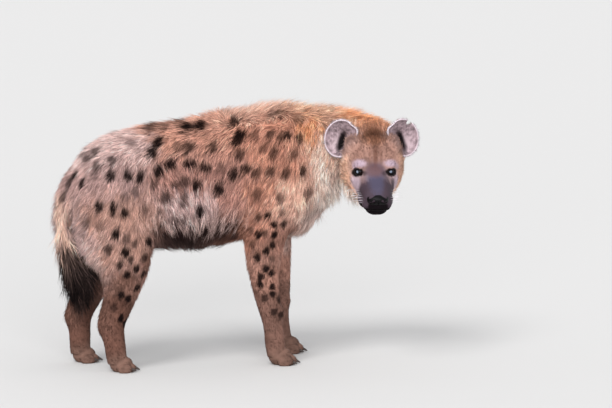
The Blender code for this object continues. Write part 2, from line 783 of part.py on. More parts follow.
def lock(name, root, normal, lie, size, rise):
    """One flat, tapered lock that leaves the surface steeply and bends along its lie."""
    length, width, thick = size
    steps = LOCK_BENDS
    angles = np.radians(np.linspace(*rise, steps + 1))
    ways = [lie * math.cos(a) + normal * math.sin(a) for a in angles]
    sunk, back = LOCK_SUNK
    at = root - normal * sunk - ways[0] * back
    places = [at]
    for way in ways[:-1]:
        places.append(places[-1] + way * (length / steps))
    points = []
    for share, wide in LOCK_RINGS:
        k = round(share * steps)
        across = normal.cross(ways[k]).normalized()
        out = ways[k].cross(across)
        half = across * (width * wide / 2)
        lift = out * (thick * wide / 2)
        points += [places[k] + half, places[k] + lift, places[k] - half, places[k] - lift]
    points.append(places[-1])
    faces = [(0, 1, 2, 3)]
    for ring in range(len(LOCK_RINGS) - 1):
        for i in range(4):
            a, b = 4 * ring + i, 4 * ring + (i + 1) % 4
            faces.append((a, a + 4, b + 4, b))
    tip = len(points) - 1
    faces += [(tip - 4 + i, tip, tip - 4 + (i + 1) % 4) for i in range(4)]
    made = mesh_object(name, points, faces)
    mesh = bmesh.new()
    mesh.from_mesh(made.data)
    bmesh.ops.recalc_face_normals(mesh, faces=mesh.faces)
    mesh.to_mesh(made.data)
    mesh.free()
    return made


def lock_places(surface, path, start, towards, row, dice):
    """Where one row's locks are rooted: each root, the surface's normal, and the lie.
    Lengths along the path are counted from start, at its first point."""
    first, last, low, high, steps, abreast = row[:6]
    along, hang = row[11:]
    towards = Vector(towards)
    dense = smooth_rows(path, PATH_STEPS)
    spans = np.linalg.norm(np.diff(dense, axis=0), axis=1)
    run = start + np.concatenate(([0], np.cumsum(spans)))
    for k in range(steps):
        here = first + (last - first) * (k + 0.5) / steps
        before, at, ahead = (
            Vector([np.interp(here + nudge, run, dense[:, i]) for i in range(3)])
            for nudge in (-PATH_NUDGE, 0, PATH_NUDGE)
        )
        tangent = (ahead - before).normalized()
        out = (towards - tangent * tangent.dot(towards)).normalized()
        stagger = LOCK_STAGGER * (-1) ** k
        for j in range(abreast):
            scatter = dice.uniform(-LOCK_SCATTER, LOCK_SCATTER)
            share = (j + 0.5 + stagger + scatter) / abreast
            angle = math.radians(low + (high - low) * share)
            way = Matrix.Rotation(angle, 3, tangent) @ out
            root, normal = surface.ray_cast(at, way)[:2]
            if root is None:
                continue
            lie = tangent * along + Vector((0, 0, -hang))
            lie = lie - normal * normal.dot(lie)
            turn = Matrix.Rotation(dice.gauss(0, LOCK_YAW), 3, normal)
            yield root, normal, (turn @ lie).normalized()


def with_locks(body, paths):
    """The body with the locks of its long coat, made one with it."""
    surface = BVHTree.FromObject(body, bpy.context.evaluated_depsgraph_get())
    dice = random.Random(LOCK_SEED)
    ears = [ear_frame(side).translation for side in (-1, 1)]
    locks = bpy.data.collections.new("locks")
    bpy.context.scene.collection.children.link(locks)
    for path, start, towards, rows, side_rise in paths:
        for row in rows:
            places = lock_places(surface, path, start, towards, row, dice)
            for root, normal, lie in places:
                scale = dice.uniform(1 - LOCK_SPREAD, 1 + LOCK_SPREAD)
                size = (row[6] * scale, row[7], row[8])
                share = side_rise + (1 - side_rise) * (1 - abs(normal.y))
                rise = (row[9] * share, row[10])
                end = root + lie * size[0]
                if min((end - ear).length for ear in ears) < EAR_CLEAR:
                    continue
                made = lock("lock", root, normal, lie, size, rise)
                bpy.context.scene.collection.objects.unlink(made)
                locks.objects.link(made)
    body = boolean(body, locks, "UNION", body.name)
    for made in list(locks.objects):
        bpy.data.objects.remove(made)
    bpy.data.collections.remove(locks)
    return body


def coat_paths():
    """The paths that the body's long coat grows beside. Lengths along the first two are
    counted from about where x is 0."""
    back, under = [], []
    for x, wide, mid, top, bottom, square in TORSO:
        if PATH_START < x < -PATH_START:
            back.append((x, 0, top - PATH_DEPTH))
            under.append((x, 0, bottom + PATH_DEPTH))
    for x, y, z, wide, up, down, square in NECK:
        back.append((x, y, z + up - PATH_DEPTH))
        under.append((x, y, z - down + PATH_DEPTH))
    paths = [
        (back, back[0][0], (0, 0, 1), BACK_LOCKS, 1.0),
        (under, under[0][0], (0, 0, -1), UNDER_LOCKS, 1.0),
    ]
    for side, ahead in ((-1, RIGHT_LEG_AHEAD), (1, LEFT_HINDLEG_AHEAD)):
        thigh = [(x + swing(z, ahead), -side * y, z) for z, x, y, *reach in HINDLEG]
        paths.append((thigh, 0.0, (-1, 0, 0), THIGH_LOCKS, 1.0))
    return paths


def main():
    clear_scene()
    body = fused("body", body_forms(), BODY_VOXEL)
    body = softened(body, BODY_SMOOTH_STEPS, ALL_SMOOTH_STEPS)
    body = thinned(body)
    nodes = {}

    hollow = grown(body, GAP)
    body = with_locks(body, coat_paths())
    face, body = parted(body, *HEAD_CUT, HEAD_CUT_FRAME, "head")
    for side, name in ((-1, "ear_right"), (1, "ear_left")):
        ear = boolean(ear_form(side), hollow, "DIFFERENCE", name)
        if side > 0:
            notch = ear_notch(side)
            ear = boolean(ear, notch, "DIFFERENCE", name)
            bpy.data.objects.remove(notch)
        nodes[name] = largest(ear)
        eye = blob("eye", (0, 0, 0), (EYE_RADIUS,) * 3, eye_frame(side), EYE_SIDES)
        nodes[name.replace("ear", "eye")] = eye
        face = with_eyelids(face, side)
    bpy.data.objects.remove(hollow)
    face = with_mouth_and_nose(face)
    nodes["muzzle"], nodes["head"] = parted(face, *MUZZLE_CUT, HEAD_FRAME, "muzzle")

    nodes["neck"], body = parted(body, *NECK_CUT, Matrix.Identity(4), "neck")

    for side, name in ((-1, "right"), (1, "left")):
        for limb, cut in (("foreleg", FORELEG_CUT), ("hindleg", HINDLEG_CUT)):
            low, high = mirrored_box(cut, side)
            leg_piece, body = parted(body, low, high, Matrix.Identity(4), limb)
            floor = box("floor", (-REACH, -REACH, -REACH), (REACH, REACH, 0))
            leg_piece = boolean(leg_piece, floor, "DIFFERENCE", limb)
            bpy.data.objects.remove(floor)
            foot, leg_piece = parted(leg_piece, *PAW_CUT, Matrix.Identity(4), "paw")
            foot = with_claws(foot, limb, side)
            nodes[f"{limb}_{name}"] = leg_piece
            nodes[f"paw_{limb[:4]}_{name}"] = foot
    cut_frame = Matrix.Translation(TAIL_CUT_AT) @ Matrix.Rotation(TAIL_CUT_LEAN, 4, "Y")
    tail = sweep("tail", TAIL, (-1, 0, 0), sides=10, per_span=2)
    above = box("cut", (-REACH, -REACH, 0), (REACH, REACH, REACH), cut_frame)
    tail = boolean(tail, above, "DIFFERENCE", "tail")
    bpy.data.objects.remove(above)
    below = box("cut", *TAIL_CUT, cut_frame, GAP)
    body = boolean(body, below, "DIFFERENCE", "torso")
    bpy.data.objects.remove(below)
    beside = grown(tail, GAP)
    body = boolean(body, beside, "DIFFERENCE", "torso")
    bpy.data.objects.remove(beside)
    tail_path = [station[:3] for station in TAIL]
    tail = with_locks(tail, [(tail_path, 0.0, (-1, 0, 0), TAIL_LOCKS, TAIL_SIDE_RISE)])
    nodes["tail"] = tail
    nodes["torso"] = body

    group = bpy.data.collections.new("spotted_hyena")
    bpy.context.scene.collection.children.link(group)
    for name, obj in nodes.items():
        coloured(largest(obj), name, COLOURS[name.split("_")[0]], ROUGHNESS)
        for owner in list(obj.users_collection):
            owner.objects.unlink(obj)
        group.objects.link(obj)
    settle(nodes.values())


def settle(objects):
    """Move everything so that the middle of its underside is at the origin."""
    points = np.array([vertex.co for obj in objects for vertex in obj.data.vertices])
    low, high = points.min(axis=0), points.max(axis=0)
    move = Matrix.Translation((-(low[0] + high[0]) / 2, -(low[1] + high[1]) / 2, -low[2]))
    for obj in objects:
        obj.data.transform(move)


main()
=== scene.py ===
"""The looks of the spotted hyena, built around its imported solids.

Metres, +Z up. Places are in the body's own measures, where x runs from the rump to the
chest and the soles are at z 0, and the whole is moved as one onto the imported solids.
"""

import json
import math
from collections import namedtuple
from contextlib import contextmanager

import bmesh
import bpy
import numpy as np
from mathutils import Matrix, Vector
from mathutils.bvhtree import BVHTree
from mathutils.kdtree import KDTree

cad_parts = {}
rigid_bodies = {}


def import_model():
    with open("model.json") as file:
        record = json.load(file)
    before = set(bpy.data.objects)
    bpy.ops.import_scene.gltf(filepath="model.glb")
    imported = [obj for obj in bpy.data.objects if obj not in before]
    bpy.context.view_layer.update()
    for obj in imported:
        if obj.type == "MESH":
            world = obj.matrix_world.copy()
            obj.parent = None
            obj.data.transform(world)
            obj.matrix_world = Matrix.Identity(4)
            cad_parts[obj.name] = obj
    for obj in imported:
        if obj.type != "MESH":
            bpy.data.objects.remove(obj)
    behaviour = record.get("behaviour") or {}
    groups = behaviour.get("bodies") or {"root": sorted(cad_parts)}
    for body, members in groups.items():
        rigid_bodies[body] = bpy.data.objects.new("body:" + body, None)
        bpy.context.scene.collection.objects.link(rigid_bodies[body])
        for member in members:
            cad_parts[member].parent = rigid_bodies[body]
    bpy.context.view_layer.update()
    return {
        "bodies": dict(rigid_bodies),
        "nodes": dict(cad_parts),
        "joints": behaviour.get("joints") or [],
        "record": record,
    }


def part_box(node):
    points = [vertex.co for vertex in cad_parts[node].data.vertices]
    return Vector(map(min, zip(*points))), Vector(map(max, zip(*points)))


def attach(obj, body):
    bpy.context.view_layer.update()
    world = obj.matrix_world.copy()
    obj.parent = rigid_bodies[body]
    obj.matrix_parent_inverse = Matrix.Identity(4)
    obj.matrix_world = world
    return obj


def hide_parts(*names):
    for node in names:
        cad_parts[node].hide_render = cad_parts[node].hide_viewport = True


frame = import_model()

# All random draws start from this seed.
SEED = 5

# A torso station is x, half-width, height of the widest place, top, bottom, squareness.
# Where the coat is long this is its dense part, and the locks stand out from it.
TORSO = (
    (-0.392, 0.034, 0.548, 0.574, 0.52, 1),
    (-0.378, 0.068, 0.545, 0.598, 0.48, 1),
    (-0.345, 0.1, 0.545, 0.636, 0.435, 0.97),
    (-0.29, 0.12, 0.55, 0.69, 0.405, 0.95),
    (-0.22, 0.13, 0.555, 0.733, 0.388, 0.94),
    (-0.12, 0.138, 0.545, 0.755, 0.372, 0.93),
    (0, 0.15, 0.53, 0.763, 0.366, 0.93),
    (0.11, 0.155, 0.525, 0.771, 0.374, 0.93),
    (0.21, 0.152, 0.545, 0.784, 0.386, 0.94),
    (0.29, 0.14, 0.57, 0.792, 0.38, 0.96),
    (0.36, 0.124, 0.58, 0.788, 0.39, 0.98),
    (0.41, 0.098, 0.59, 0.77, 0.466, 1),
    (0.436, 0.064, 0.61, 0.72, 0.53, 1),
)

# A neck station is x, y, z, half-width, reach up, reach down, squareness.
NECK = (
    (0.3, 0, 0.61, 0.125, 0.18, 0.165, 1),
    (0.385, 0.006, 0.628, 0.116, 0.16, 0.146, 1),
    (0.455, 0.012, 0.645, 0.106, 0.134, 0.104, 1),
    (0.515, 0.006, 0.658, 0.104, 0.106, 0.096, 1),
    (0.558, -0.022, 0.66, 0.102, 0.09, 0.092, 1),
    (0.577, -0.066, 0.653, 0.098, 0.084, 0.09, 1),
    (0.574, -0.108, 0.647, 0.094, 0.08, 0.09, 1),
    (0.568, -0.142, 0.64, 0.084, 0.074, 0.082, 1),
)

# The head's own frame: x runs from the back of the skull to the nose, y to its left, z up.
HEAD_AT = Vector((0.5668, -0.0777, 0.6368))
HEAD_TURN = math.radians(-100)
HEAD_NOD = math.radians(20)
HEAD_FRAME = (
    Matrix.Translation(HEAD_AT)
    @ Matrix.Rotation(HEAD_TURN, 4, "Z")
    @ Matrix.Rotation(HEAD_NOD, 4, "Y")
)

# A head station is x, centre height, half-width, reach up, reach down, squareness.
HEAD = (
    (-0.01, 0.005, 0.066, 0.072, 0.072, 1),
    (0.025, 0.008, 0.09, 0.096, 0.096, 0.98),
    (0.065, 0.008, 0.1, 0.107, 0.106, 1),
    (0.105, 0.004, 0.096, 0.105, 0.102, 0.98),
    (0.14, 0, 0.08, 0.092, 0.087, 0.95),
    (0.165, -0.004, 0.067, 0.072, 0.076, 0.92),
    (0.19, -0.007, 0.058, 0.055, 0.064, 0.9),
    (0.215, -0.009, 0.05, 0.048, 0.053, 0.88),
    (0.24, -0.01, 0.046, 0.044, 0.045, 0.87),
    (0.262, -0.01, 0.043, 0.04, 0.038, 0.88),
    (0.279, -0.008, 0.034, 0.031, 0.03, 0.92),
    (0.289, -0.006, 0.018, 0.017, 0.017, 1),
)

# Muscle and bone forms that stand out on the head, in its frame: centre, then radii.
# Each is made on both sides.
HEAD_FORMS = (
    # brow
    ((0.152, 0.043, 0.054), (0.03, 0.022, 0.012)),
    # cheekbone
    ((0.128, 0.062, 0.006), (0.042, 0.018, 0.022)),
    # jaw muscle
    ((0.084, 0.05, -0.034), (0.052, 0.037, 0.05)),
    # temple
    ((0.075, 0.05, 0.07), (0.05, 0.036, 0.038)),
    # upper lip
    ((0.252, 0.026, -0.026), (0.034, 0.021, 0.021)),
    # chin
    ((0.24, 0.006, -0.047), (0.034, 0.031, 0.022)),
    # corner of the lips
    ((0.208, 0.034, -0.036), (0.042, 0.021, 0.024)),
    # wing of the nose
    ((0.279, 0.014, 0.002), (0.013, 0.017, 0.015)),
)

# A leg station is z, x, y, half-width, reach forward, reach back. It is the right leg's.
FORELEG = (
    (0.74, 0.285, -0.062, 0.045, 0.06, 0.07),
    (0.66, 0.278, -0.082, 0.062, 0.088, 0.098),
    (0.56, 0.262, -0.092, 0.062, 0.104, 0.104),
    (0.47, 0.24, -0.096, 0.056, 0.09, 0.09),
    (0.4, 0.226, -0.098, 0.048, 0.07, 0.072),
    (0.3, 0.221, -0.1, 0.039, 0.052, 0.053),
    (0.21, 0.233, -0.101, 0.035, 0.043, 0.043),
    (0.13, 0.251, -0.101, 0.032, 0.036, 0.036),
    (0.067, 0.257, -0.101, 0.031, 0.033, 0.033),
    (0.03, 0.262, -0.101, 0.03, 0.032, 0.032),
)
HINDLEG = (
    (0.645, -0.25, -0.055, 0.05, 0.086, 0.064),
    (0.56, -0.258, -0.086, 0.06, 0.125, 0.11),
    (0.45, -0.256, -0.1, 0.052, 0.124, 0.118),
    (0.35, -0.226, -0.104, 0.048, 0.094, 0.09),
    (0.27, -0.229, -0.102, 0.04, 0.065, 0.065),
    (0.215, -0.243, -0.101, 0.034, 0.053, 0.053),
    (0.15, -0.262, -0.1, 0.031, 0.045, 0.048),
    (0.09, -0.254, -0.1, 0.028, 0.036, 0.036),
    (0.05, -0.249, -0.1, 0.028, 0.034, 0.034),
    (0.028, -0.246, -0.1, 0.027, 0.032, 0.032),
)
# Muscle and bone forms of the right legs: centre, radii, lean about Y in degrees.
FORELEG_FORMS = (
    # shoulder blade
    ((0.275, -0.094, 0.63), (0.05, 0.04, 0.12), 14),
    # upper arm
    ((0.275, -0.112, 0.52), (0.085, 0.04, 0.075), 30),
    # elbow
    ((0.17, -0.1, 0.43), (0.03, 0.028, 0.042), -15),
    # wrist
    ((0.26, -0.101, 0.165), (0.03, 0.031, 0.03), 0),
)
HINDLEG_FORMS = (
    # hip
    ((-0.235, -0.08, 0.62), (0.09, 0.044, 0.075), 20),
    # knee
    ((-0.18, -0.106, 0.415), (0.046, 0.034, 0.075), -25),
    # point of the hock
    ((-0.295, -0.1, 0.14), (0.018, 0.015, 0.034), -14),
)
# The left legs are these stations mirrored, and each height of a leg stands this far
# ahead of the right leg's: heights and distances.
LEFT_FORELEG_AHEAD = (
    (0.03, 0.076),
    (0.1, 0.066),
    (0.17, 0.075),
    (0.22, 0.089),
    (0.32, 0.092),
    (0.47, 0.055),
    (0.62, 0),
)
LEFT_HINDLEG_AHEAD = ((0, -0.072), (0.62, 0))
RIGHT_LEG_AHEAD = ((0, 0),)

# A paw: radii of its pad and toes, and how far ahead the middle toes are.
FORE_PAW = {"pad": (0.04, 0.034, 0.03), "toe": (0.027, 0.0128, 0.019), "reach": 0.036}
HIND_PAW = {"pad": (0.038, 0.03, 0.028), "toe": (0.025, 0.0118, 0.017), "reach": 0.034}
PAD_AHEAD = 0.012
# Toes: how far across, in toe widths, and how far behind the middle toes.
TOES = ((-2.65, 0.017), (-0.95, 0), (0.95, 0), (2.65, 0.017))
SOLE_SUNK = 0.004
# The tail hangs from the rump: x, y, z, half-width, half-depth behind and ahead,
# squareness.
TAIL = (
    (-0.318, 0, 0.622, 0.034, 0.03, 0.034, 1),
    (-0.352, 0, 0.594, 0.03, 0.03, 0.034, 1),
    (-0.379, 0, 0.556, 0.025, 0.026, 0.028, 1),
    (-0.397, 0, 0.508, 0.021, 0.02, 0.021, 1),
    (-0.394, 0, 0.45, 0.02, 0.019, 0.02, 1),
    (-0.383, 0, 0.39, 0.022, 0.023, 0.027, 1),
    (-0.363, 0, 0.332, 0.026, 0.03, 0.04, 1),
    (-0.35, 0, 0.278, 0.025, 0.029, 0.036, 1),
    (-0.345, 0, 0.235, 0.016, 0.02, 0.022, 1),
    (-0.343, 0, 0.205, 0.006, 0.008, 0.008, 1),
)

# Eyes, in the head's frame. The opening between the lids is measured along the slit and
# across it.
EYE_AT = Vector((0.162, 0.0455, 0.037))
EYE_RADIUS = 0.015
EYE_OUTWARD = math.radians(25)
EYE_TILT = math.radians(8)
EYE_OPENING = (0.0146, 0.0093)
EYE_LIFT = 0.0012
LID_THICKNESS = 0.0026
LID_RIM = 0.0016

# The mouth line, as rays about an upright axis in the head: the angle from straight
# ahead and the height.
MOUTH_AXIS_X = 0.205
MOUTH_LINE = (
    (0, -0.03),
    (12, -0.0305),
    (24, -0.0325),
    (40, -0.036),
    (60, -0.038),
    (85, -0.038),
    (105, -0.035),
    (117, -0.03),
)
MOUTH_DEEP = 0.0042
MOUTH_HIGH = 0.0016

# Ears: the middle of the bowl, the direction of its length, the direction it opens to,
# in the head's frame for the right ear, then half-length, half-width, depth, thickness.
EAR_AT = Vector((0.045, -0.098, 0.088))
EAR_UP = Vector((-0.3, 0.3, 0.905)).normalized()
EAR_OPEN = Vector((0.86, -0.36, 0.4)).normalized()
EAR_SIZE = (0.0615, 0.0535)
EAR_DEPTH = 0.033
EAR_THICKNESS = 0.0034
EAR_RINGS = 22
EAR_SECTORS = 56
EAR_NOTCH_TURN = math.radians(42)
EAR_NOTCH = (0.016, 0.01, 0.03)

# Colours of the coat and the bare skin, 0 to 255.
PALETTE = {
    # the back, the sides and the belly
    "rump_top": (222, 190, 184),
    "rump_side": (192, 158, 152),
    "thigh": (208, 163, 147),
    "thigh_back": (202, 172, 168),
    "back": (206, 154, 134),
    "flank": (195, 146, 133),
    "flank_pale": (248, 210, 205),
    "belly": (40, 25, 24),
    "strand": (226, 194, 186),
    "shoulder": (214, 153, 130),
    "shoulder_low": (252, 199, 178),
    "chest": (206, 181, 173),
    # the legs
    "foreleg": (166, 122, 107),
    "foreleg_low": (112, 82, 72),
    "hindleg_low": (96, 66, 56),
    "knee": (134, 98, 86),
    "hock": (112, 80, 69),
    "paw": (108, 82, 72),
    "claw": (62, 52, 48),
    # the mane, the neck and the tail
    "mane": (230, 184, 164),
    "mane_tip": (224, 178, 152),
    "neck": (240, 164, 120),
    "neck_pale": (255, 220, 206),
    "throat": (255, 232, 220),
    "tail_top": (255, 210, 190),
    "tail": (6, 3, 5),
    # the head
    "cheek": (252, 198, 168),
    "forehead": (146, 110, 98),
    "crown": (182, 126, 98),
    "muzzle_top": (72, 68, 86),
    "muzzle_side": (66, 54, 62),
    "brow": (176, 156, 170),
    "under_eye": (176, 156, 166),
    "chin": (8, 3, 6),
    "stop": (96, 72, 74),
    "median": (72, 42, 32),
    "line": (84, 50, 38),
    # a painted highlight on the side of the lips
    "lip_highlight": (104, 90, 98),
    "nose": (4, 2, 4),
    "dark": (13, 8, 10),
    # the ears
    "ear_back": (140, 104, 90),
    "ear_inside": (150, 131, 136),
    "ear_rim": (252, 242, 250),
    "ear_fringe": (186, 152, 144),
    # painted shade inside the ear, beside its canal
    "ear_fold": (196, 176, 180),
    "ear_inner_shade": (84, 62, 62),
    # painted shade in the opening of the ear's canal
    "canal_shade": (16, 10, 12),
    # the spots
    "spot": (14, 5, 6),
}

# How the coat grows. Each line is a place, the way the hair lies there, its length, how
# deep the skin is below the solids, the hair's rise in degrees, its width, how thickly it
# covers, and its colour. Lengths are in millimetres. The places are on the right side or
# the middle, and count for both sides.
BODY_COAT = (
    # back, from the rump to the withers
    ((-0.385, 0, 0.56), (-0.6, 0, -0.8), 34, 7, 18, 1.4, 4.1, "rump_side"),
    ((-0.345, 0, 0.64), (-0.75, 0, -0.65), 32, 7, 16, 1.4, 4.1, "rump_top"),
    ((-0.29, 0, 0.692), (-0.95, 0, -0.35), 34, 8, 17, 1.4, 4.1, "rump_top"),
    ((-0.2, 0, 0.742), (-1, 0, -0.1), 36, 9, 18, 1.48, 4.1, "rump_top"),
    ((-0.1, 0, 0.757), (-1, 0, 0), 40, 9, 20, 1.48, 4.1, "back"),
    ((0, 0, 0.763), (-0.8, 0, 0), 40, 9, 20, 1.48, 4.1, "back"),
    ((0.06, 0, 0.768), (-0.6, 0, 0), 38, 8, 30, 1.48, 4.3, "back"),
    ((0.09, 0, 0.771), (-0.35, 0, 0.1), 34, 7, 48, 1.4, 4.9, "back"),
    ((0.11, 0, 0.773), (-0.15, 0, 0.3), 33, 6, 70, 1.4, 5.2, "back"),
    ((0.125, 0, 0.774), (0.1, 0, 0.3), 33, 6, 72, 1.4, 5.2, "mane"),
    ((0.145, 0, 0.775), (0.35, 0, 0.1), 33, 6, 52, 1.4, 4.6, "mane"),
    ((0.18, 0, 0.779), (1, 0, 0), 37, 6, 40, 1.48, 4.9, "mane"),
    ((0.24, 0, 0.788), (1, 0, 0), 45, 5, 40, 1.48, 4.9, "mane"),
    ((0.33, 0, 0.79), (1, 0, -0.05), 46, 5, 38, 1.48, 4.9, "mane_tip"),
    ((0.42, 0.006, 0.786), (1, 0, -0.15), 44, 5, 36, 1.48, 4.9, "mane_tip"),
    # beside the back
    ((-0.27, -0.085, 0.685), (-0.65, -0.1, -0.75), 34, 8, 15, 1.4, 4.1, "rump_top"),
    ((-0.16, -0.085, 0.715), (-0.75, -0.1, -0.6), 38, 9, 16, 1.4, 4.1, "rump_top"),
    ((-0.06, -0.09, 0.725), (-0.7, -0.1, -0.7), 42, 10, 17, 1.48, 4.1, "back"),
    ((0.06, -0.095, 0.735), (-0.6, -0.1, -0.8), 44, 10, 18, 1.48, 4.1, "back"),
    ((0.17, -0.095, 0.745), (-0.5, -0.1, -0.85), 44, 9, 20, 1.48, 4.1, "shoulder"),
    ((0.28, -0.085, 0.75), (-0.5, -0.1, -0.85), 44, 8, 22, 1.48, 4.1, "shoulder"),
    ((0.38, -0.08, 0.74), (-0.4, -0.1, -0.9), 44, 8, 22, 1.48, 4.1, "neck"),
    # rump and thigh
    ((-0.37, -0.05, 0.6), (-0.6, -0.1, -0.8), 32, 7, 15, 1.4, 4.1, "rump_side"),
    ((-0.33, -0.095, 0.6), (-0.5, 0, -0.85), 32, 7, 13, 1.33, 4.1, "rump_side"),
    ((-0.23, -0.13, 0.62), (-0.4, 0, -0.9), 34, 8, 13, 1.33, 4.1, "rump_side"),
    ((-0.31, -0.12, 0.5), (-0.45, 0, -0.9), 32, 7, 13, 1.33, 4.1, "thigh"),
    ((-0.22, -0.14, 0.5), (-0.3, 0, -0.95), 32, 7, 12, 1.33, 4.1, "thigh"),
    ((-0.15, -0.125, 0.48), (-0.1, 0, -1), 34, 8, 14, 1.33, 4.1, "thigh"),
    ((-0.36, -0.09, 0.48), (-0.75, 0, -0.7), 40, 7, 24, 1.4, 4.1, "thigh_back"),
    ((-0.345, -0.1, 0.4), (-0.7, 0, -0.75), 36, 6, 22, 1.33, 4.1, "thigh_back"),
    ((-0.35, -0.03, 0.44), (-0.7, 0.1, -0.75), 38, 7, 18, 1.4, 3.5, "thigh_back"),
    ((-0.26, -0.03, 0.42), (-0.3, 0.1, -0.95), 24, 6, 14, 1.33, 3.2, "thigh_back"),
    # flank
    ((-0.09, -0.135, 0.62), (0.3, 0, -0.95), 42, 10, 15, 1.4, 4.1, "flank"),
    ((-0.07, -0.135, 0.52), (0.45, 0, -0.9), 42, 10, 16, 1.4, 4.1, "flank_pale"),
    ((-0.07, -0.11, 0.43), (0.5, 0, -0.85), 42, 9, 18, 1.4, 4.1, "belly"),
    ((0.01, -0.15, 0.62), (-0.15, 0, -1), 44, 10, 15, 1.4, 4.1, "flank"),
    ((0.01, -0.15, 0.53), (0.05, 0, -1), 44, 10, 16, 1.4, 4.1, "flank_pale"),
    ((0.01, -0.125, 0.43), (0, 0, -1), 44, 9, 18, 1.4, 4.1, "belly"),
    ((0.1, -0.15, 0.64), (-0.45, 0, -0.9), 44, 10, 15, 1.4, 4.1, "flank"),
    ((0.1, -0.155, 0.54), (-0.45, 0, -0.9), 42, 10, 15, 1.4, 4.1, "flank"),
    ((0.115, -0.13, 0.435), (-0.55, 0, -0.8), 40, 9, 17, 1.4, 4.1, "belly"),
    ((0.14, -0.11, 0.405), (-0.55, 0, -0.8), 36, 8, 17, 1.4, 4.1, "belly"),
    # belly and groin
    ((-0.12, 0, 0.38), (0.6, 0, -0.4), 40, 8, 26, 1.48, 3.5, "belly"),
    ((0, 0, 0.37), (0.2, 0, -0.6), 42, 8, 28, 1.48, 3.5, "belly"),
    ((0.12, 0, 0.375), (-0.6, 0, -0.4), 40, 8, 26, 1.48, 3.5, "belly"),
    ((0.28, 0, 0.4), (-0.8, 0, -0.3), 34, 9, 16, 1.48, 3.5, "chest"),
    # shoulder and breast
    ((0.23, -0.145, 0.68), (-0.45, 0, -0.9), 42, 9, 15, 1.4, 4.1, "shoulder"),
    ((0.31, -0.14, 0.64), (-0.5, 0, -0.85), 42, 9, 15, 1.4, 4.1, "shoulder"),
    ((0.21, -0.15, 0.56), (-0.5, 0, -0.85), 36, 8, 13, 1.33, 4.1, "shoulder"),
    ((0.29, -0.15, 0.54), (-0.45, 0, -0.9), 34, 8, 13, 1.33, 4.1, "shoulder_low"),
    ((0.35, -0.125, 0.56), (-0.35, 0, -0.95), 40, 8, 16, 1.4, 4.1, "shoulder_low"),
    ((0.18, -0.14, 0.45), (-0.45, 0, -0.9), 28, 7, 13, 1.25, 4.1, "shoulder"),
    ((0.4, -0.06, 0.48), (-0.45, 0, -0.9), 40, 16, 12, 1.48, 4.1, "chest"),
    ((0.43, 0, 0.52), (-0.4, 0, -0.92), 40, 20, 12, 1.48, 4.1, "chest"),
    ((0.38, 0, 0.43), (-0.7, 0, -0.7), 38, 16, 13, 1.48, 4.1, "chest"),
)
# The neck's two sides differ, as it bends to the right, so these count once.
NECK_COAT = (
    ((0.5, 0, 0.765), (0.9, -0.4, -0.2), 42, 5, 34, 1.4, 4.9, "neck"),
    ((0.56, -0.04, 0.742), (0.5, -0.8, -0.2), 38, 6, 32, 1.4, 4.6, "neck"),
    ((0.43, -0.095, 0.7), (-0.45, 0.05, -0.9), 44, 9, 20, 1.4, 4.3, "neck_pale"),
    ((0.43, -0.1, 0.62), (-0.45, 0.05, -0.9), 44, 9, 20, 1.4, 4.3, "neck_pale"),
    ((0.46, -0.09, 0.55), (-0.4, 0.05, -0.92), 42, 12, 15, 1.4, 4.3, "chest"),
    ((0.49, -0.11, 0.66), (-0.7, 0.2, -0.75), 40, 8, 20, 1.4, 4.3, "neck_pale"),
    ((0.52, -0.06, 0.56), (-0.7, 0.1, -0.7), 40, 14, 14, 1.4, 4.3, "throat"),
    ((0.48, 0.105, 0.65), (-0.55, 0.1, -0.8), 44, 9, 18, 1.4, 4.1, "neck"),
    ((0.57, 0.07, 0.65), (-0.55, 0.45, -0.75), 42, 9, 18, 1.4, 4.1, "neck"),
    ((0.65, -0.01, 0.64), (-0.3, 0.7, -0.7), 38, 8, 18, 1.4, 4.1, "neck_pale"),
    ((0.58, 0.01, 0.56), (-0.7, 0.2, -0.65), 40, 14, 14, 1.4, 4.1, "throat"),
    ((0.48, 0.06, 0.54), (-0.6, 0.1, -0.8), 40, 16, 14, 1.4, 4.1, "chest"),
)
# Pale hair that hangs from the right cheek over the throat.
RUFF_COAT = (
    ((0.478, -0.125, 0.573), (-0.1, -0.1, -1), 46, 4, 22, 1.6, 7, "throat"),
    ((0.498, -0.12, 0.54), (-0.05, -0.05, -1), 56, 4, 26, 1.7, 12, "throat"),
    ((0.48, -0.112, 0.535), (-0.05, -0.05, -1), 60, 4, 26, 1.7, 12, "throat"),
    ((0.465, -0.1, 0.538), (0.4, -0.1, -0.92), 58, 4, 26, 1.7, 12, "throat"),
    ((0.442, -0.09, 0.531), (-0.25, -0.05, -0.95), 44, 8, 18, 1.3, 4.6, "throat"),
    ((0.505, -0.135, 0.528), (0, -0.05, -1), 50, 4, 26, 1.6, 10, "throat"),
    ((0.46, -0.105, 0.56), (0.25, -0.05, -0.95), 50, 5, 22, 1.5, 8, "throat"),
    ((0.455, -0.08, 0.53), (0.3, -0.1, -0.95), 54, 5, 24, 1.6, 10, "throat"),
    ((0.455, -0.11, 0.6), (-0.3, 0, -0.95), 42, 7, 18, 1.4, 4.3, "neck_pale"),
)
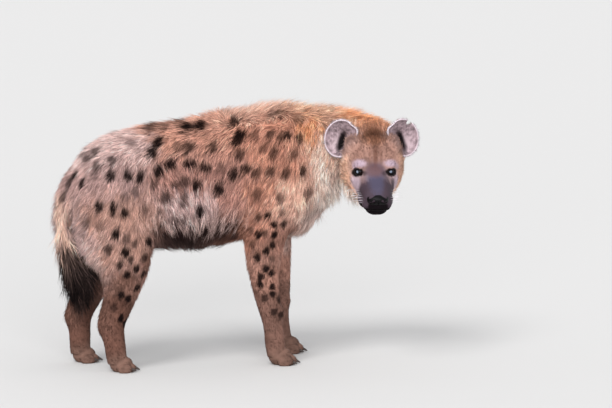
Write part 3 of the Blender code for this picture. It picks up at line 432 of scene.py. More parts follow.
# Places on the right legs, which count for all four as their feet stand.
FORELEG_COAT = (
    ((0.25, -0.145, 0.4), (-0.2, 0, -1), 22, 5, 13, 1.17, 3.5, "foreleg"),
    ((0.3, -0.11, 0.4), (-0.05, 0, -1), 22, 5, 13, 1.17, 3.5, "foreleg"),
    ((0.16, -0.1, 0.4), (-0.25, 0, -1), 24, 5, 15, 1.17, 3.5, "shoulder"),
    ((0.22, -0.055, 0.38), (-0.1, 0, -1), 20, 5, 12, 1.17, 3.2, "chest"),
    ((0.225, -0.135, 0.28), (-0.02, 0, -1), 15, 3, 12, 1.3, 2.4, "foreleg"),
    ((0.225, -0.065, 0.28), (0, 0, -1), 15, 3, 12, 1.3, 2.2, "foreleg"),
    ((0.24, -0.13, 0.18), (0.05, 0, -1), 13, 3, 11, 1.2, 2.4, "foreleg_low"),
    ((0.24, -0.07, 0.18), (0.05, 0, -1), 13, 3, 11, 1.2, 2.2, "foreleg_low"),
    ((0.255, -0.1, 0.08), (0.2, 0, -1), 10, 2, 12, 1.1, 2.4, "foreleg_low"),
    ((0.3, -0.1, 0.04), (0.8, 0, -0.6), 8, 2, 12, 1, 2.4, "paw"),
    ((0.255, -0.1, 0.02), (0.6, 0, -0.8), 8, 2, 12, 1, 2.2, "paw"),
)
HINDLEG_COAT = (
    ((-0.2, -0.145, 0.4), (-0.2, 0, -1), 26, 6, 12, 1.25, 3.8, "thigh"),
    ((-0.28, -0.13, 0.38), (-0.45, 0, -0.9), 28, 6, 14, 1.25, 3.8, "thigh"),
    ((-0.15, -0.11, 0.35), (-0.15, 0, -1), 24, 6, 13, 1.25, 3.5, "knee"),
    ((-0.31, -0.11, 0.37), (-0.65, 0, -0.75), 34, 5, 24, 1.33, 4.4, "strand"),
    ((-0.22, -0.06, 0.36), (-0.15, 0, -1), 22, 5, 12, 1.25, 3.2, "thigh_back"),
    ((-0.23, -0.14, 0.29), (-0.2, 0, -1), 18, 4, 12, 1.4, 2.4, "knee"),
    ((-0.23, -0.065, 0.29), (-0.2, 0, -1), 18, 4, 12, 1.4, 2.2, "knee"),
    ((-0.25, -0.13, 0.21), (-0.2, 0, -1), 14, 3, 12, 1.3, 2.4, "hindleg_low"),
    ((-0.3, -0.1, 0.19), (-0.45, 0, -0.9), 16, 3, 16, 1.3, 2.4, "hock"),
    ((-0.235, -0.1, 0.15), (0.1, 0, -1), 12, 3, 11, 1.2, 2.4, "hindleg_low"),
    ((-0.255, -0.1, 0.08), (0.2, 0, -1), 10, 2, 12, 1.1, 2.4, "hindleg_low"),
    ((-0.21, -0.1, 0.04), (0.8, 0, -0.6), 8, 2, 12, 1, 2.4, "paw"),
    ((-0.25, -0.1, 0.02), (0.6, 0, -0.8), 8, 2, 12, 1, 2.2, "paw"),
)
TAIL_COAT = (
    ((-0.368, 0, 0.596), (-0.55, 0, -0.85), 34, 6, 14, 1.4, 4.1, "rump_side"),
    ((-0.41, 0, 0.54), (-0.05, 0, -1), 34, 5, 12, 1.33, 4.1, "tail_top"),
    ((-0.405, 0, 0.46), (0.1, 0, -1), 44, 4, 12, 1.4, 4.1, "tail_top"),
    ((-0.405, 0, 0.43), (0.15, 0, -1), 56, 3, 14, 1.8, 7, "tail_top"),
    ((-0.43, 0, 0.4), (0.05, 0, -1), 60, 3, 14, 1.9, 8, "tail_top"),
    ((-0.402, 0, 0.372), (0.1, 0, -1), 66, 3, 16, 2, 10, "tail"),
    ((-0.372, 0, 0.39), (0.62, 0, -0.8), 88, 3, 26, 2, 9, "tail"),
    ((-0.398, 0, 0.33), (0.05, 0, -1), 70, 3, 14, 2.1, 10, "tail"),
    ((-0.35, 0, 0.33), (0.55, 0, -0.85), 90, 3, 26, 2.1, 10, "tail"),
    ((-0.368, 0, 0.27), (0, 0, -1), 66, 2, 14, 2.1, 10, "tail"),
    ((-0.335, 0, 0.275), (0.3, 0, -0.95), 76, 2, 22, 2.1, 10, "tail"),
)
# Places in the head's frame, on its left side or the middle.
HEAD_COAT = (
    ((0.262, 0, 0.026), (-1, 0, 0.1), 4, 1, 12, 0.8, 2, "muzzle_top"),
    ((0.215, 0, 0.036), (-1, 0, 0.1), 5, 1, 12, 0.8, 2, "muzzle_top"),
    ((0.185, 0, 0.05), (-0.9, 0, 0.5), 6, 1, 12, 0.8, 2, "muzzle_top"),
    ((0.24, 0.044, -0.006), (-1, 0.1, -0.2), 5, 1, 12, 0.8, 2, "muzzle_side"),
    ((0.2, 0.056, -0.012), (-1, 0.3, -0.2), 6, 1, 12, 0.8, 2, "muzzle_side"),
    ((0.262, 0.032, -0.03), (-0.8, 0.3, -0.5), 4, 1, 12, 0.8, 2, "muzzle_side"),
    ((0.255, 0, -0.056), (-1, 0, -0.3), 5, 1, 14, 0.8, 2, "chin"),
    ((0.2, 0.03, -0.066), (-1, 0, -0.3), 9, 2, 14, 0.9, 2.2, "throat"),
    ((0.15, 0.085, 0.088), (-0.8, 0, 0.6), 9, 2, 13, 0.9, 2.2, "forehead"),
    ((0.15, 0, 0.086), (-0.8, 0, 0.6), 9, 2, 13, 0.9, 2.2, "forehead"),
    ((0.125, 0.045, 0.085), (-0.9, 0.2, 0.5), 11, 2, 14, 1, 2.2, "forehead"),
    ((0.09, 0, 0.108), (-0.9, 0, 0.5), 16, 3, 24, 1.1, 2.6, "crown"),
    ((0.045, 0, 0.108), (-0.7, 0, 0.8), 26, 4, 42, 1.01, 4.1, "crown"),
    ((0, 0, 0.1), (-0.6, 0, 0.6), 38, 5, 40, 1.17, 4.1, "crown"),
    ((0.07, 0.075, 0.085), (-0.35, 0.75, 0.55), 16, 2, 26, 1, 3.2, "ear_fringe"),
    ((0.07, 0.092, 0.055), (-0.35, 0.85, 0.35), 16, 2, 26, 1, 3.2, "ear_fringe"),
    ((0.09, 0.095, 0.035), (-0.9, 0.2, 0), 15, 3, 14, 1.1, 2.6, "cheek"),
    ((0.15, 0.048, 0.062), (-0.6, 0.5, 0.6), 8, 1, 13, 0.8, 2.2, "forehead"),
    ((0.14, 0.085, 0), (-0.9, 0.4, -0.2), 12, 2, 13, 1, 2.4, "cheek"),
    ((0.165, 0.064, 0), (-0.9, 0.5, -0.2), 8, 1, 12, 0.8, 2.2, "under_eye"),
    ((0.165, 0.066, -0.035), (-0.9, 0.3, -0.3), 9, 2, 12, 0.9, 2.2, "cheek"),
    ((0.11, 0.095, -0.03), (-0.9, 0.3, -0.4), 18, 3, 14, 1.2, 2.6, "cheek"),
    ((0.06, 0.1, 0), (-0.9, 0.2, -0.3), 26, 5, 16, 1.09, 3.8, "cheek"),
    ((0.08, 0.08, -0.085), (-0.8, 0, -0.6), 26, 4, 18, 1.09, 3.8, "throat"),
    ((0.1, 0, -0.1), (-0.9, 0, -0.4), 26, 4, 18, 1.09, 3.5, "throat"),
    ((0.02, 0.09, 0.05), (-0.9, 0.2, 0), 30, 6, 18, 1.17, 3.8, "neck"),
    ((0.01, 0.08, -0.07), (-0.8, 0, -0.6), 36, 6, 20, 1.25, 4.1, "throat"),
)

# Marks on the head, in its frame: the middle, radii, colour, strength and how soft the
# edge is. Those off the middle are on both sides.
HEAD_MARKS = (
    # muzzle, and the dark up between the eyes
    ((0.245, 0, -0.012), (0.068, 0.066, 0.054), "muzzle_side", 0.94, 0.25),
    ((0.185, 0.047, 0.002), (0.022, 0.014, 0.022), "muzzle_side", 0.8, 0.5),
    ((0.225, 0, 0.014), (0.055, 0.026, 0.034), "muzzle_top", 0.85, 0.6),
    # lips and chin
    ((0.285, 0, -0.026), (0.026, 0.034, 0.024), "chin", 0.96, 0.4),
    ((0.25, 0, -0.056), (0.06, 0.044, 0.022), "chin", 0.96, 0.4),
    ((0.215, 0.056, -0.044), (0.04, 0.014, 0.01), "chin", 0.8, 0.5),
)

# Marks of the face as the photograph shows them: where each is in the picture, its
# half-width and half-height there, its lean in degrees, its colour, strength and how
# soft the edge is.
FACE_MARKS = (
    # the dark tuft on the crown, and the line down the forehead
    (375.5, 134, 10, 11, 0, "median", 0.7, 1.4),
    (375.5, 146, 4, 9, 0, "median", 0.6, 1.2),
    (375.5, 158, 2.2, 9, 0, "line", 0.55, 1.2),
    (370, 154, 1.4, 7, 0, "line", 0.35, 1.2),
    (381, 154, 1.4, 7, 0, "line", 0.35, 1.2),
    # between the eyes
    (375, 171, 9, 6, 0, "stop", 0.85, 1.2),
    (363.5, 180, 3, 5, 0, "stop", 0.45, 1.2),
    (386.5, 182, 3, 6, 0, "muzzle_side", 0.55, 1.2),
    (375, 165, 9, 6, 0, "line", 0.18, 1.2),
    # pale behind the left cheek, partly the coat's own pale line and partly painted light
    # in the hollow by the neck; painted shade at the edge of the right cheek
    (341, 157, 5, 5, 0, "neck_pale", 0.6, 1.2),
    (339, 173, 3.4, 15, 0, "neck_pale", 0.6, 1.2),
    (401, 173, 4, 10, 0, "forehead", 0.6, 1.2),
    # the sides of the mask, and a painted highlight on the side of the lips
    (363, 193, 4.8, 9.5, 4, "muzzle_side", 0.9, 0.6),
    (388.5, 192, 4.2, 10, 0, "muzzle_side", 0.9, 0.5),
    (361.5, 200.5, 4, 4, 0, "lip_highlight", 0.6, 1),
    # brows
    (358.8, 163.4, 7.2, 3.8, 0, "brow", 0.8, 1.1),
    (354.5, 166.4, 2.4, 2.8, 0, "brow", 0.6, 0.9),
    (391.6, 163.2, 7, 3.5, 0, "brow", 0.8, 1.1),
    (397, 166.2, 2.2, 2.8, 0, "brow", 0.5, 0.9),
    # below the eyes
    (356, 184, 4.6, 7.5, 8, "under_eye", 0.85, 0.9),
    (395.8, 184, 2.6, 7.5, 0, "under_eye", 0.7, 0.8),
    # dark round the eyes and from their inner corners
    (358, 172.2, 6.5, 4.9, 0, "dark", 0.98, 0.3),
    (363.8, 173.2, 2.8, 2.4, 0, "dark", 0.55, 1.2),
    (390.4, 172.2, 6.5, 4.9, 0, "dark", 0.98, 0.3),
    (384.8, 173, 2.8, 2.4, 0, "dark", 0.55, 1.2),
    # pale hair before the ears
    (345, 150.5, 4.5, 6, -35, "ear_fringe", 0.6, 1),
)
FACE_MARK_DEPTH = 0.035

# Spots of the right side: where each is in the 612 by 408 picture, how dark it is and,
# where it differs from most, how much longer than wide and its lean from upright, in
# degrees towards the right. The first value of a group is the half-width of its spots in
# metres.
PICTURE = (612, 408)
SPOT_SHAPE = (1.1, 0)
SPOTS = (
    # rump and thigh
    (0.0172, (
        (128, 144, 0.3), (94, 154, 0.6, 1.1, 20), (86, 161, 0.6, 1.1, 30), (74, 178, 0.9, 1.5, 30),
        (70, 185, 0.6, 1.3, 30), (64, 200, 0.6, 1.5, 25), (96, 168, 0.6), (111, 162, 0.6),
        (93, 178, 0.4), (109, 178, 0.9, 1.2, 10), (82, 186, 0.9, 1.6, 0),
        (127, 178, 0.9, 1.3, -25), (139, 180, 0.9, 1.6, 0), (98, 209, 0.9, 1.2, 0),
        (112, 211, 0.9, 1.6, 0), (124, 215, 0.85), (123, 200, 0.4, 1.2, 0),
        (134, 195, 0.4, 1.2, 0), (143, 213, 0.4, 1.2, 0), (86, 225, 0.35, 1.2, 0),
        (99, 229, 0.35, 1.2, 0), (115, 236, 0.9), (126, 240, 0.45, 1, 0), (148, 244, 0.9),
        (107, 251, 0.65), (125, 254, 0.9), (151, 254, 0.65),
    )),
    # knee and hock
    (0.0128, (
        (134, 246, 0.6, 1, 0), (130, 261, 0.65, 1, 0), (144, 259, 0.6, 1, 0), (119, 267, 0.7),
        (136, 270, 0.9), (127, 276, 0.9), (143, 275, 0.85), (145, 285, 0.65, 1, 0),
        (137, 289, 0.9), (121, 295, 0.9), (128, 299, 0.9, 1.2, 0), (114, 308, 0.4, 1, 0),
        (134, 307, 0.65), (121, 319, 0.9), (125, 323, 0.85, 1, 0),
    )),
    # back and flank
    (0.0208, (
        (146, 130, 0.6, 1.1, 90), (162, 127, 0.4, 1.1, 90), (184, 128, 0.95, 1.4, 90),
        (198, 127, 0.9, 1.2, 90), (156, 144, 0.95, 1.5, 30), (151, 155, 0.85, 1.2, -30),
        (159, 174, 0.9, 1.6, 0), (177, 150, 0.4), (187, 149, 0.65), (211, 150, 0.65, 1.2, 20),
        (170, 167, 0.9, 1.1, 90), (189, 167, 0.95, 1.4, 90), (204, 171, 0.9, 1.4, 90),
        (219, 173, 0.4), (231, 178, 0.85, 1.2, 20), (233, 123, 0.7, 1.2, 20),
        (239, 137, 0.9, 1.1, 30), (235, 143, 0.9, 1.1, 30), (238, 158, 0.6, 1.1, 20),
        (184, 185, 0.6), (196, 188, 0.9, 1.2, 0), (217, 192, 0.9, 1.2, 20),
        (200, 213, 0.9, 1.6, 0), (166, 201, 0.6),
    )),
    (0.0146, (
        (176, 188, 0.6, 1, 0), (154, 187, 0.6), (185, 199, 0.6, 1, 0), (184, 206, 0.55, 1, 0),
        (176, 222, 0.5, 1.2, 0), (160, 214, 0.5, 1.2, 0),
    )),
    # shoulder and neck
    (0.019, (
        (244, 172, 0.85, 1.2, 20), (254, 175, 0.6, 1.2, 20), (269, 174, 0.6, 1.3, 20),
        (284, 176, 0.6, 1.3, 20), (273, 115, 0.35, 1.4, 30), (282, 116, 0.35, 1.4, 30),
        (299, 121, 0.35, 1.4, 30), (270, 137, 0.6, 1.4, 25), (280, 141, 0.6, 1.4, 25),
        (286, 138, 0.8, 1.4, 25), (297, 141, 0.75, 1.4, 25), (273, 155, 0.55, 1.4, 25),
        (292, 156, 0.55, 1.4, 25), (300, 174, 0.75, 1.3, 20), (306, 196, 0.6, 1.3, 10),
        (279, 201, 0.55, 1.2, 10), (256, 196, 0.45, 1.2, 20), (262, 152, 0.4, 1.4, 25),
        (253, 138, 0.4, 1.4, 25),
    )),
    # foreleg
    (0.0126, (
        (280, 215, 0.6, 1.2, 10), (258, 219, 0.6, 1.2, 10), (267, 217, 0.9, 1.2, 10),
        (273, 226, 0.9), (283, 225, 0.85), (250, 231, 0.4), (235, 238, 0.6),
        (258, 236, 0.9, 1.2, 0), (264, 235, 0.6, 1, 0), (274, 236, 0.9, 1.2, 0),
        (272, 246, 0.9, 1.2, 0), (252, 246, 0.4), (291, 244, 0.6), (266, 253, 0.9, 1.2, 0),
        (257, 259, 0.85, 1.2, 0), (272, 259, 0.4), (266, 269, 0.9), (272, 273, 0.9),
        (261, 277, 0.85), (260, 285, 0.9, 1.2, 0), (273, 287, 0.9), (273, 294, 0.85),
        (265, 298, 0.6), (279, 299, 0.6), (274, 312, 0.6), (281, 315, 0.6, 1, 0),
    )),
)
# A spot: how deep it reaches, how much darker it is made than in the tables, between
# which shares of its size its edge fades, and within how many half-lengths it counts.
SPOT_DEPTH = 0.055
SPOT_DEEPER = 1.7
SPOT_EDGE = (0.72, 1.16)
SPOT_REACH = 4
# Over the top of the back, how much of a distance along the view isn't counted, and
# between which upward parts of the skin's normal that sets in.
SPOT_ALONG_VIEW = 0.6
SPOT_ON_TOP = (0.35, 0.75)
# How far, in its own lengths, a tuft's colours are taken from beside it.
SPOT_FUZZ = 0.07
# Spots of the left side are those of the right, moved about a little and a little paler.
SPOT_SCATTER = 0.02
LEFT_SPOT_DARK = 0.95

# The legs of the right side, each with its coat, and the sides with how far ahead the
# foreleg and the hind leg stand. A side is -1 for the right and 1 for the left.
LEGS = (
    (FORELEG, FORELEG_FORMS, FORE_PAW, FORELEG_COAT),
    (HINDLEG, HINDLEG_FORMS, HIND_PAW, HINDLEG_COAT),
)
LEG_SIDES = (
    (-1, RIGHT_LEG_AHEAD, RIGHT_LEG_AHEAD),
    (1, LEFT_FORELEG_AHEAD, LEFT_HINDLEG_AHEAD),
)

# How finely the skin is drawn: the voxels of the body and of the head and paws, and the
# rounds of smoothing.
BODY_VOXEL = 0.005
FINE_VOXEL = 0.002
BODY_SMOOTH_STEPS = 30
ALL_SMOOTH_STEPS = 7
FINE_SMOOTH_STEPS = 8
# The paws end at a height and blend in up to so many times it. The face is ahead of a
# place in the head's frame. The head is in a box of a frame that is turned a little from
# its own, and blends in from the back of that box.
PAW_TOP = 0.08
PAW_BLEND = 1.3
FACE_X = 0.1
HEAD_CUT_TURN = math.radians(15)
HEAD_CUT_FRAME = HEAD_FRAME @ Matrix.Rotation(HEAD_CUT_TURN, 4, "Z")
HEAD_BOX = np.array(((0, -0.15, -0.18), (0.4, 0.17, 0.21)))
HEAD_BLEND = 0.04
# The block that cuts the soles flat reaches this far.
FLOOR_BLOCK = 1
MM_PER_M = 1000


def unit(vectors):
    """Vectors made as long as 1."""
    return vectors / np.linalg.norm(vectors, axis=-1, keepdims=True)


def smoothstep(low, high, value):
    """0 below one value, 1 above another, and smooth between them."""
    share = np.clip((value - low) / (high - low), 0, 1)
    return share * share * (3 - 2 * share)


def flipped(place):
    """A place or direction on the other side of the body."""
    return Vector((place[0], -place[1], place[2]))


def moved(points, matrix):
    """Points taken through a matrix."""
    m = np.array(matrix)
    return np.asarray(points) @ m[:3, :3].T + m[:3, 3]


def in_head(points):
    """Points in the head's frame."""
    return moved(points, HEAD_FRAME.inverted())


def smooth_rows(rows, per_span):
    """A table's rows and the rows between them, along one smooth curve."""
    rows = np.array(rows, float)
    ends = np.vstack((2 * rows[0] - rows[1], rows, 2 * rows[-1] - rows[-2]))
    found = []
    for a, b, c, d in zip(ends, ends[1:], ends[2:], ends[3:]):
        for t in np.arange(per_span) / per_span:
            bend = (2 * a - 5 * b + 4 * c - d) * t**2 + (3 * b - a - 3 * c + d) * t**3
            found.append(b + 0.5 * ((c - a) * t + bend))
    return np.array(found + [rows[-1]])


# Meshes


def values_of(items, name, width=1, kind=np.float32):
    """One property of the items of a mesh, as an array."""
    values = np.empty(len(items) * width, kind)
    items.foreach_get(name, values)
    return values.reshape(-1, width) if width > 1 else values


def points_of(mesh):
    """The points of a mesh."""
    return values_of(mesh.vertices, "co", 3).astype(float)


def normals_of(mesh):
    """The normals at the points of a mesh."""
    return values_of(mesh.vertex_normals, "vector", 3).astype(float)


def set_points(mesh, points):
    """Moves the points of a mesh."""
    mesh.vertices.foreach_set("co", np.asarray(points, np.float32).ravel())
    mesh.update()


def linked(name, data):
    """A new object in the scene."""
    obj = bpy.data.objects.new(name, data)
    bpy.context.scene.collection.objects.link(obj)
    return obj


def mesh_object(name, points, faces):
    """An object made of points and faces."""
    mesh = bpy.data.meshes.new(name)
    mesh.from_pydata([tuple(p) for p in points], [], faces)
    mesh.update()
    return linked(name, mesh)


@contextmanager
def opened(mesh):
    """A mesh opened for an edit and closed after it."""
    edited = bmesh.new()
    edited.from_mesh(mesh)
    yield edited
    edited.to_mesh(mesh)
    edited.free()


def joined(name, objects):
    """One object that holds the meshes of several."""
    together = bmesh.new()
    for obj in objects:
        together.from_mesh(obj.data)
        bpy.data.objects.remove(obj)
    mesh = bpy.data.meshes.new(name)
    together.to_mesh(mesh)
    together.free()
    return linked(name, mesh)


def add_modifier(obj, kind, **settings):
    """Puts a modifier on an object."""
    step = obj.modifiers.new(kind, kind)
    for name, value in settings.items():
        setattr(step, name, value)


def evaluated(obj, name):
    """A new object from an object as its modifiers leave it. The old one is removed."""
    graph = bpy.context.evaluated_depsgraph_get()
    mesh = bpy.data.meshes.new_from_object(obj.evaluated_get(graph))
    mesh.transform(obj.matrix_world)
    made = linked(name, mesh)
    bpy.data.objects.remove(obj)
    return made


def boolean(target, tool, operation, solver):
    """An object joined with, or cut by, another, which is then removed."""
    add_modifier(target, "BOOLEAN", operation=operation, solver=solver, object=tool)
    made = evaluated(target, target.name)
    bpy.data.objects.remove(tool)
    return made


def fused(name, forms, voxel):
    """Forms run together into one smooth closed body."""
    body = joined(name, forms)
    add_modifier(body, "REMESH", mode="VOXEL", voxel_size=voxel)
    return evaluated(body, name)


def largest(obj):
    """An object with only its largest closed surface kept."""
    with opened(obj.data) as mesh:
        mesh.verts.ensure_lookup_table()
        seen = set()
        groups = []
        for start in mesh.verts:
            if start.index in seen:
                continue
            seen.add(start.index)
            group = [start]
            for vertex in group:
                for edge in vertex.link_edges:
                    other = edge.other_vert(vertex)
                    if other.index not in seen:
                        seen.add(other.index)
                        group.append(other)
            groups.append(group)
        groups.sort(key=len)
        dropped = [vertex for group in groups[:-1] for vertex in group]
        bmesh.ops.delete(mesh, geom=dropped, context="VERTS")
    return obj


def outward(obj):
    """Turns an object's faces to point out of it."""
    with opened(obj.data) as mesh:
        bmesh.ops.recalc_face_normals(mesh, faces=mesh.faces)


# Plain forms


def band_faces(rings, count, closed=False):
    """The faces between rings of so many points, and from the last to the first."""
    faces = []
    for k in range(rings if closed else rings - 1):
        here, there = k * count, (k + 1) % rings * count
        for i in range(count):
            j = (i + 1) % count
            faces.append((here + i, here + j, there + j, there + i))
    return faces


def lofted(name, rings):
    """A closed loft through rings of as many points each."""
    count = len(rings[0])
    last = (len(rings) - 1) * count
    start, end = tuple(range(count))[::-1], tuple(range(last, last + count))
    faces = [start, *band_faces(len(rings), count), end]
    return mesh_object(name, np.concatenate(rings), faces)


def sweep(name, stations, towards, sides=28, per_span=4):
    """A form swept along a path. A station is x, y, z, half-width, reach towards the
    given direction, reach away from it, and a squareness, 1 for an ellipse."""
    rows = smooth_rows(stations, per_span)
    along = unit(np.gradient(rows[:, :3], axis=0))
    across = unit(np.cross(np.array(towards, float), along))
    out = np.cross(along, across)
    turn = np.arange(sides) * 2 * math.pi / sides
    rings = []
    for k, (x, y, z, wide, near, far, square) in enumerate(rows):
        c = np.sign(np.cos(turn)) * np.abs(np.cos(turn)) ** square * wide
        s = np.sign(np.sin(turn)) * np.abs(np.sin(turn)) ** square
        s = np.where(s >= 0, near, far) * s
        rings.append(np.array((x, y, z)) + np.outer(c, across[k]) + np.outer(s, out[k]))
    return lofted(name, rings)


def blob(name, centre, radii, frame=None, segments=24):
    """An ellipsoid, in the frame given."""
    bpy.ops.mesh.primitive_uv_sphere_add(
        segments=segments, ring_count=segments // 2 + 2, radius=1
    )
    obj = bpy.context.object
    obj.name = name
    place = Matrix.Translation(centre) @ Matrix.Diagonal((*radii, 1))
    obj.data.transform((frame or Matrix.Identity(4)) @ place)
    return obj


# The body's forms


def torso():
    """The torso, from the rump to the chest."""
    rows = [
        (x, 0, mid, wide, top - mid, mid - bottom, square)
        for x, wide, mid, top, bottom, square in TORSO
    ]
    return [sweep("torso_form", rows, (0, 0, 1), sides=36)]


def neck():
    """The neck, bent to the right."""
    return [sweep("neck_form", NECK, (0, 0, 1), sides=32)]


def head():
    """The head without its ears, with its muscles."""
    rows = [(x, 0, z, wide, up, down, square) for x, z, wide, up, down, square in HEAD]
    made = sweep("head_form", rows, (0, 0, 1), sides=32)
    made.data.transform(HEAD_FRAME)
    forms = [made]
    for (x, y, z), radii in HEAD_FORMS:
        for side in (1, -1):
            forms.append(blob("head_muscle", (x, side * y, z), radii, HEAD_FRAME))
    return forms


def tail():
    """The tail's core."""
    return [sweep("tail_form", TAIL, (-1, 0, 0), sides=20)]


def swing(z, ahead):
    """How far a leg's station is moved ahead, by its table of heights and distances."""
    heights, distances = zip(*ahead)
    return float(np.interp(z, heights, distances))


def paw(x, y, size):
    """A paw's pad and toes, before the sole is cut flat."""
    pad_height = size["pad"][2] - SOLE_SUNK
    forms = [blob("pad", (x + PAD_AHEAD, y, pad_height), size["pad"])]
    toe_height = size["toe"][2] - SOLE_SUNK
    for across, behind in TOES:
        centre = (x + size["reach"] - behind, y + across * size["toe"][1], toe_height)
        forms.append(blob("toe", centre, size["toe"]))
    return forms


def leg(stations, muscles, paw_size, side, ahead):
    """One leg and its paw. side is -1 for a right leg and 1 for a left one."""
    rows = [
        (x + swing(z, ahead), -side * y, z, wide, near, far, 1)
        for z, x, y, wide, near, far in stations
    ]
    forms = [sweep("leg_form", rows, (1, 0, 0), sides=24)]
    for (x, y, z), radii, lean in muscles:
        frame = Matrix.Translation((x + swing(z, ahead), -side * y, z))
        frame = frame @ Matrix.Rotation(math.radians(lean), 4, "Y")
        forms.append(blob("leg_muscle", (0, 0, 0), radii, frame))
    foot_x, foot_y = rows[-1][:2]
    return forms + paw(foot_x, foot_y, paw_size)


def all_legs():
    """The four legs and their paws."""
    forms = []
    for side, *aheads in LEG_SIDES:
        for (stations, muscles, paw_size, _), ahead in zip(LEGS, aheads):
            forms += leg(stations, muscles, paw_size, side, ahead)
    return forms


# The skin


def head_share(points):
    """How far points belong to the head: 0 behind its cut, 1 well inside it."""
    at = moved(points, HEAD_CUT_FRAME.inverted())
    low, high = HEAD_BOX
    inside = ((at > low) & (at < high)).all(axis=1)
    return inside * smoothstep(0, HEAD_BLEND, at[:, 0] - low[0])


def on_head_or_paws(centres):
    """Whether places are on the head or the paws, where the skin is fine."""
    return (head_share(centres) > 0) | (centres[:, 2] < PAW_TOP)


def near_face(centres):
    """Whether places are on the face, where the skin is finest."""
    return (in_head(centres)[:, 0] > FACE_X) & (head_share(centres) > 0)


def softened(body):
    """The body made smoother, less so on the head and the paws."""
    group = body.vertex_groups.new(name="soft")
    points = points_of(body.data)
    plain = (head_share(points) < 0.5) & (points[:, 2] > PAW_TOP)
    group.add(np.nonzero(plain)[0].tolist(), 1, "REPLACE")
    add_modifier(body, "SMOOTH", vertex_group=group.name, iterations=BODY_SMOOTH_STEPS)
    add_modifier(body, "SMOOTH", iterations=ALL_SMOOTH_STEPS)
    return evaluated(body, body.name)


def refined(body, chosen):
    """The body with its chosen faces split in four. chosen tells it from face centres."""
    with opened(body.data) as mesh:
        centres = np.array([face.calc_center_median() for face in mesh.faces])
        marked = chosen(centres)
        edges = {edge for face, mark in zip(mesh.faces, marked) if mark for edge in face.edges}
        bmesh.ops.subdivide_edges(mesh, edges=list(edges), cuts=1, use_grid_fill=True)
        bmesh.ops.triangulate(mesh, faces=[face for face in mesh.faces if len(face.verts) > 4])
    return body


def snapped(body):
    """The head and paws of the body moved onto forms that are more finely drawn."""
    fine = fused("fine", head() + neck() + all_legs(), FINE_VOXEL)
    add_modifier(fine, "SMOOTH", iterations=FINE_SMOOTH_STEPS)
    fine = evaluated(fine, "fine")
    surface = surface_of(fine)
    points = points_of(body.data)
    paws = 1 - smoothstep(PAW_TOP, PAW_TOP * PAW_BLEND, points[:, 2])
    share = np.maximum(head_share(points), paws)
    for k in np.nonzero(share > 0)[0]:
        there = surface.find_nearest(points[k])[0]
        points[k] += (np.array(there) - points[k]) * share[k]
    set_points(body.data, points)
    bpy.data.objects.remove(fine)
    return body


def surface_of(obj):
    """An object's surface, for rays and nearest places."""
    return BVHTree.FromObject(obj, bpy.context.evaluated_depsgraph_get())


def with_flat_soles(body):
    """The body cut off at the floor."""
    bpy.ops.mesh.primitive_cube_add(size=1)
    block = bpy.context.object
    size = Matrix.Diagonal((2 * FLOOR_BLOCK, 2 * FLOOR_BLOCK, FLOOR_BLOCK, 1))
    block.data.transform(Matrix.Translation((0, 0, -FLOOR_BLOCK / 2)) @ size)
    return boolean(body, block, "DIFFERENCE", "MANIFOLD")


# The skin's depth below the coat fades out over the soles, and it stays off the floor.
SOLE_FADE = 0.012
SKIN_OFF_FLOOR = 0.0005


def inset(body, field):
    """The body's surface drawn in by the coat's depth."""
    points, normals = points_of(body.data), normals_of(body.data)
    depth = field.at(points)[1][:, 1] / MM_PER_M
    sole = smoothstep(0, SOLE_FADE, points[:, 2])
    points -= normals * (depth * sole)[:, None]
    points[:, 2] = np.maximum(points[:, 2], SKIN_OFF_FLOOR)
    set_points(body.data, points)
    return body


# Within the lids' opening the skin lies this share of the eye's radius from its middle.
EYE_SUNK = 0.3


def eye_frame(side):
    """An eye's frame: x out along its gaze, y along the slit of its lids."""
    return (
        HEAD_FRAME
        @ Matrix.Translation((EYE_AT.x, side * EYE_AT.y, EYE_AT.z))
        @ Matrix.Rotation(side * EYE_OUTWARD, 4, "Z")
        @ Matrix.Rotation(side * EYE_TILT, 4, "X")
    )


def slit_share(at):
    """How far out of the lids' opening places in an eye's frame are, 1 at its edge."""
    return np.hypot(at[:, 1] / EYE_OPENING[0], (at[:, 2] - EYE_LIFT) / EYE_OPENING[1])


def with_lids(points):
    """Skin points laid over the eyeballs, and sunk in the openings between the lids."""
    for side in (-1, 1):
        frame = eye_frame(side)
        at = moved(points, frame.inverted())
        across = np.hypot(at[:, 1], at[:, 2])
        ball = EYE_RADIUS + LID_THICKNESS
        near = (across < ball) & (at[:, 0] > 0)
        over = np.sqrt(np.maximum(ball**2 - across**2, 0))
        at[:, 0] = np.where(near, np.maximum(at[:, 0], over), at[:, 0])
        sunk = near & (slit_share(at) < 1)
        at[:, 0] = np.where(sunk, np.minimum(at[:, 0], EYE_RADIUS * EYE_SUNK), at[:, 0])
        points = moved(at, frame)
    return points


# The mouth line fades out over its last degrees. The lips stand out beside it: how much
# of its depth, and how far off in its own heights.
MOUTH_FADE = 12
LIPS_OUT = 0.18
LIPS_AT = 3


def mouth_place(points):
    """Points in the head's frame, their turn about the mouth's axis, and how high they
    are over the mouth line."""
    at = in_head(points)
    turn = np.degrees(np.arctan2(np.abs(at[:, 1]), at[:, 0] - MOUTH_AXIS_X))
    return at, turn, at[:, 2] - np.interp(turn, *zip(*MOUTH_LINE))


def with_mouth(points):
    """Skin points with the mouth line pressed in and the lips a little out."""
    at, turn, over = mouth_place(points)
    last = MOUTH_LINE[-1][0]
    end = 1 - smoothstep(last - MOUTH_FADE, last, turn)
    gap = over / MOUTH_HIGH
    press = np.exp(-(gap**2)) - LIPS_OUT * np.exp(-((np.abs(gap) - LIPS_AT) ** 2) / 2)
    way = np.stack((at[:, 0] - MOUTH_AXIS_X, at[:, 1], np.zeros(len(at))), axis=1)
    at -= unit(way + 1e-9) * (press * MOUTH_DEEP * end)[:, None]
    return moved(at, HEAD_FRAME)


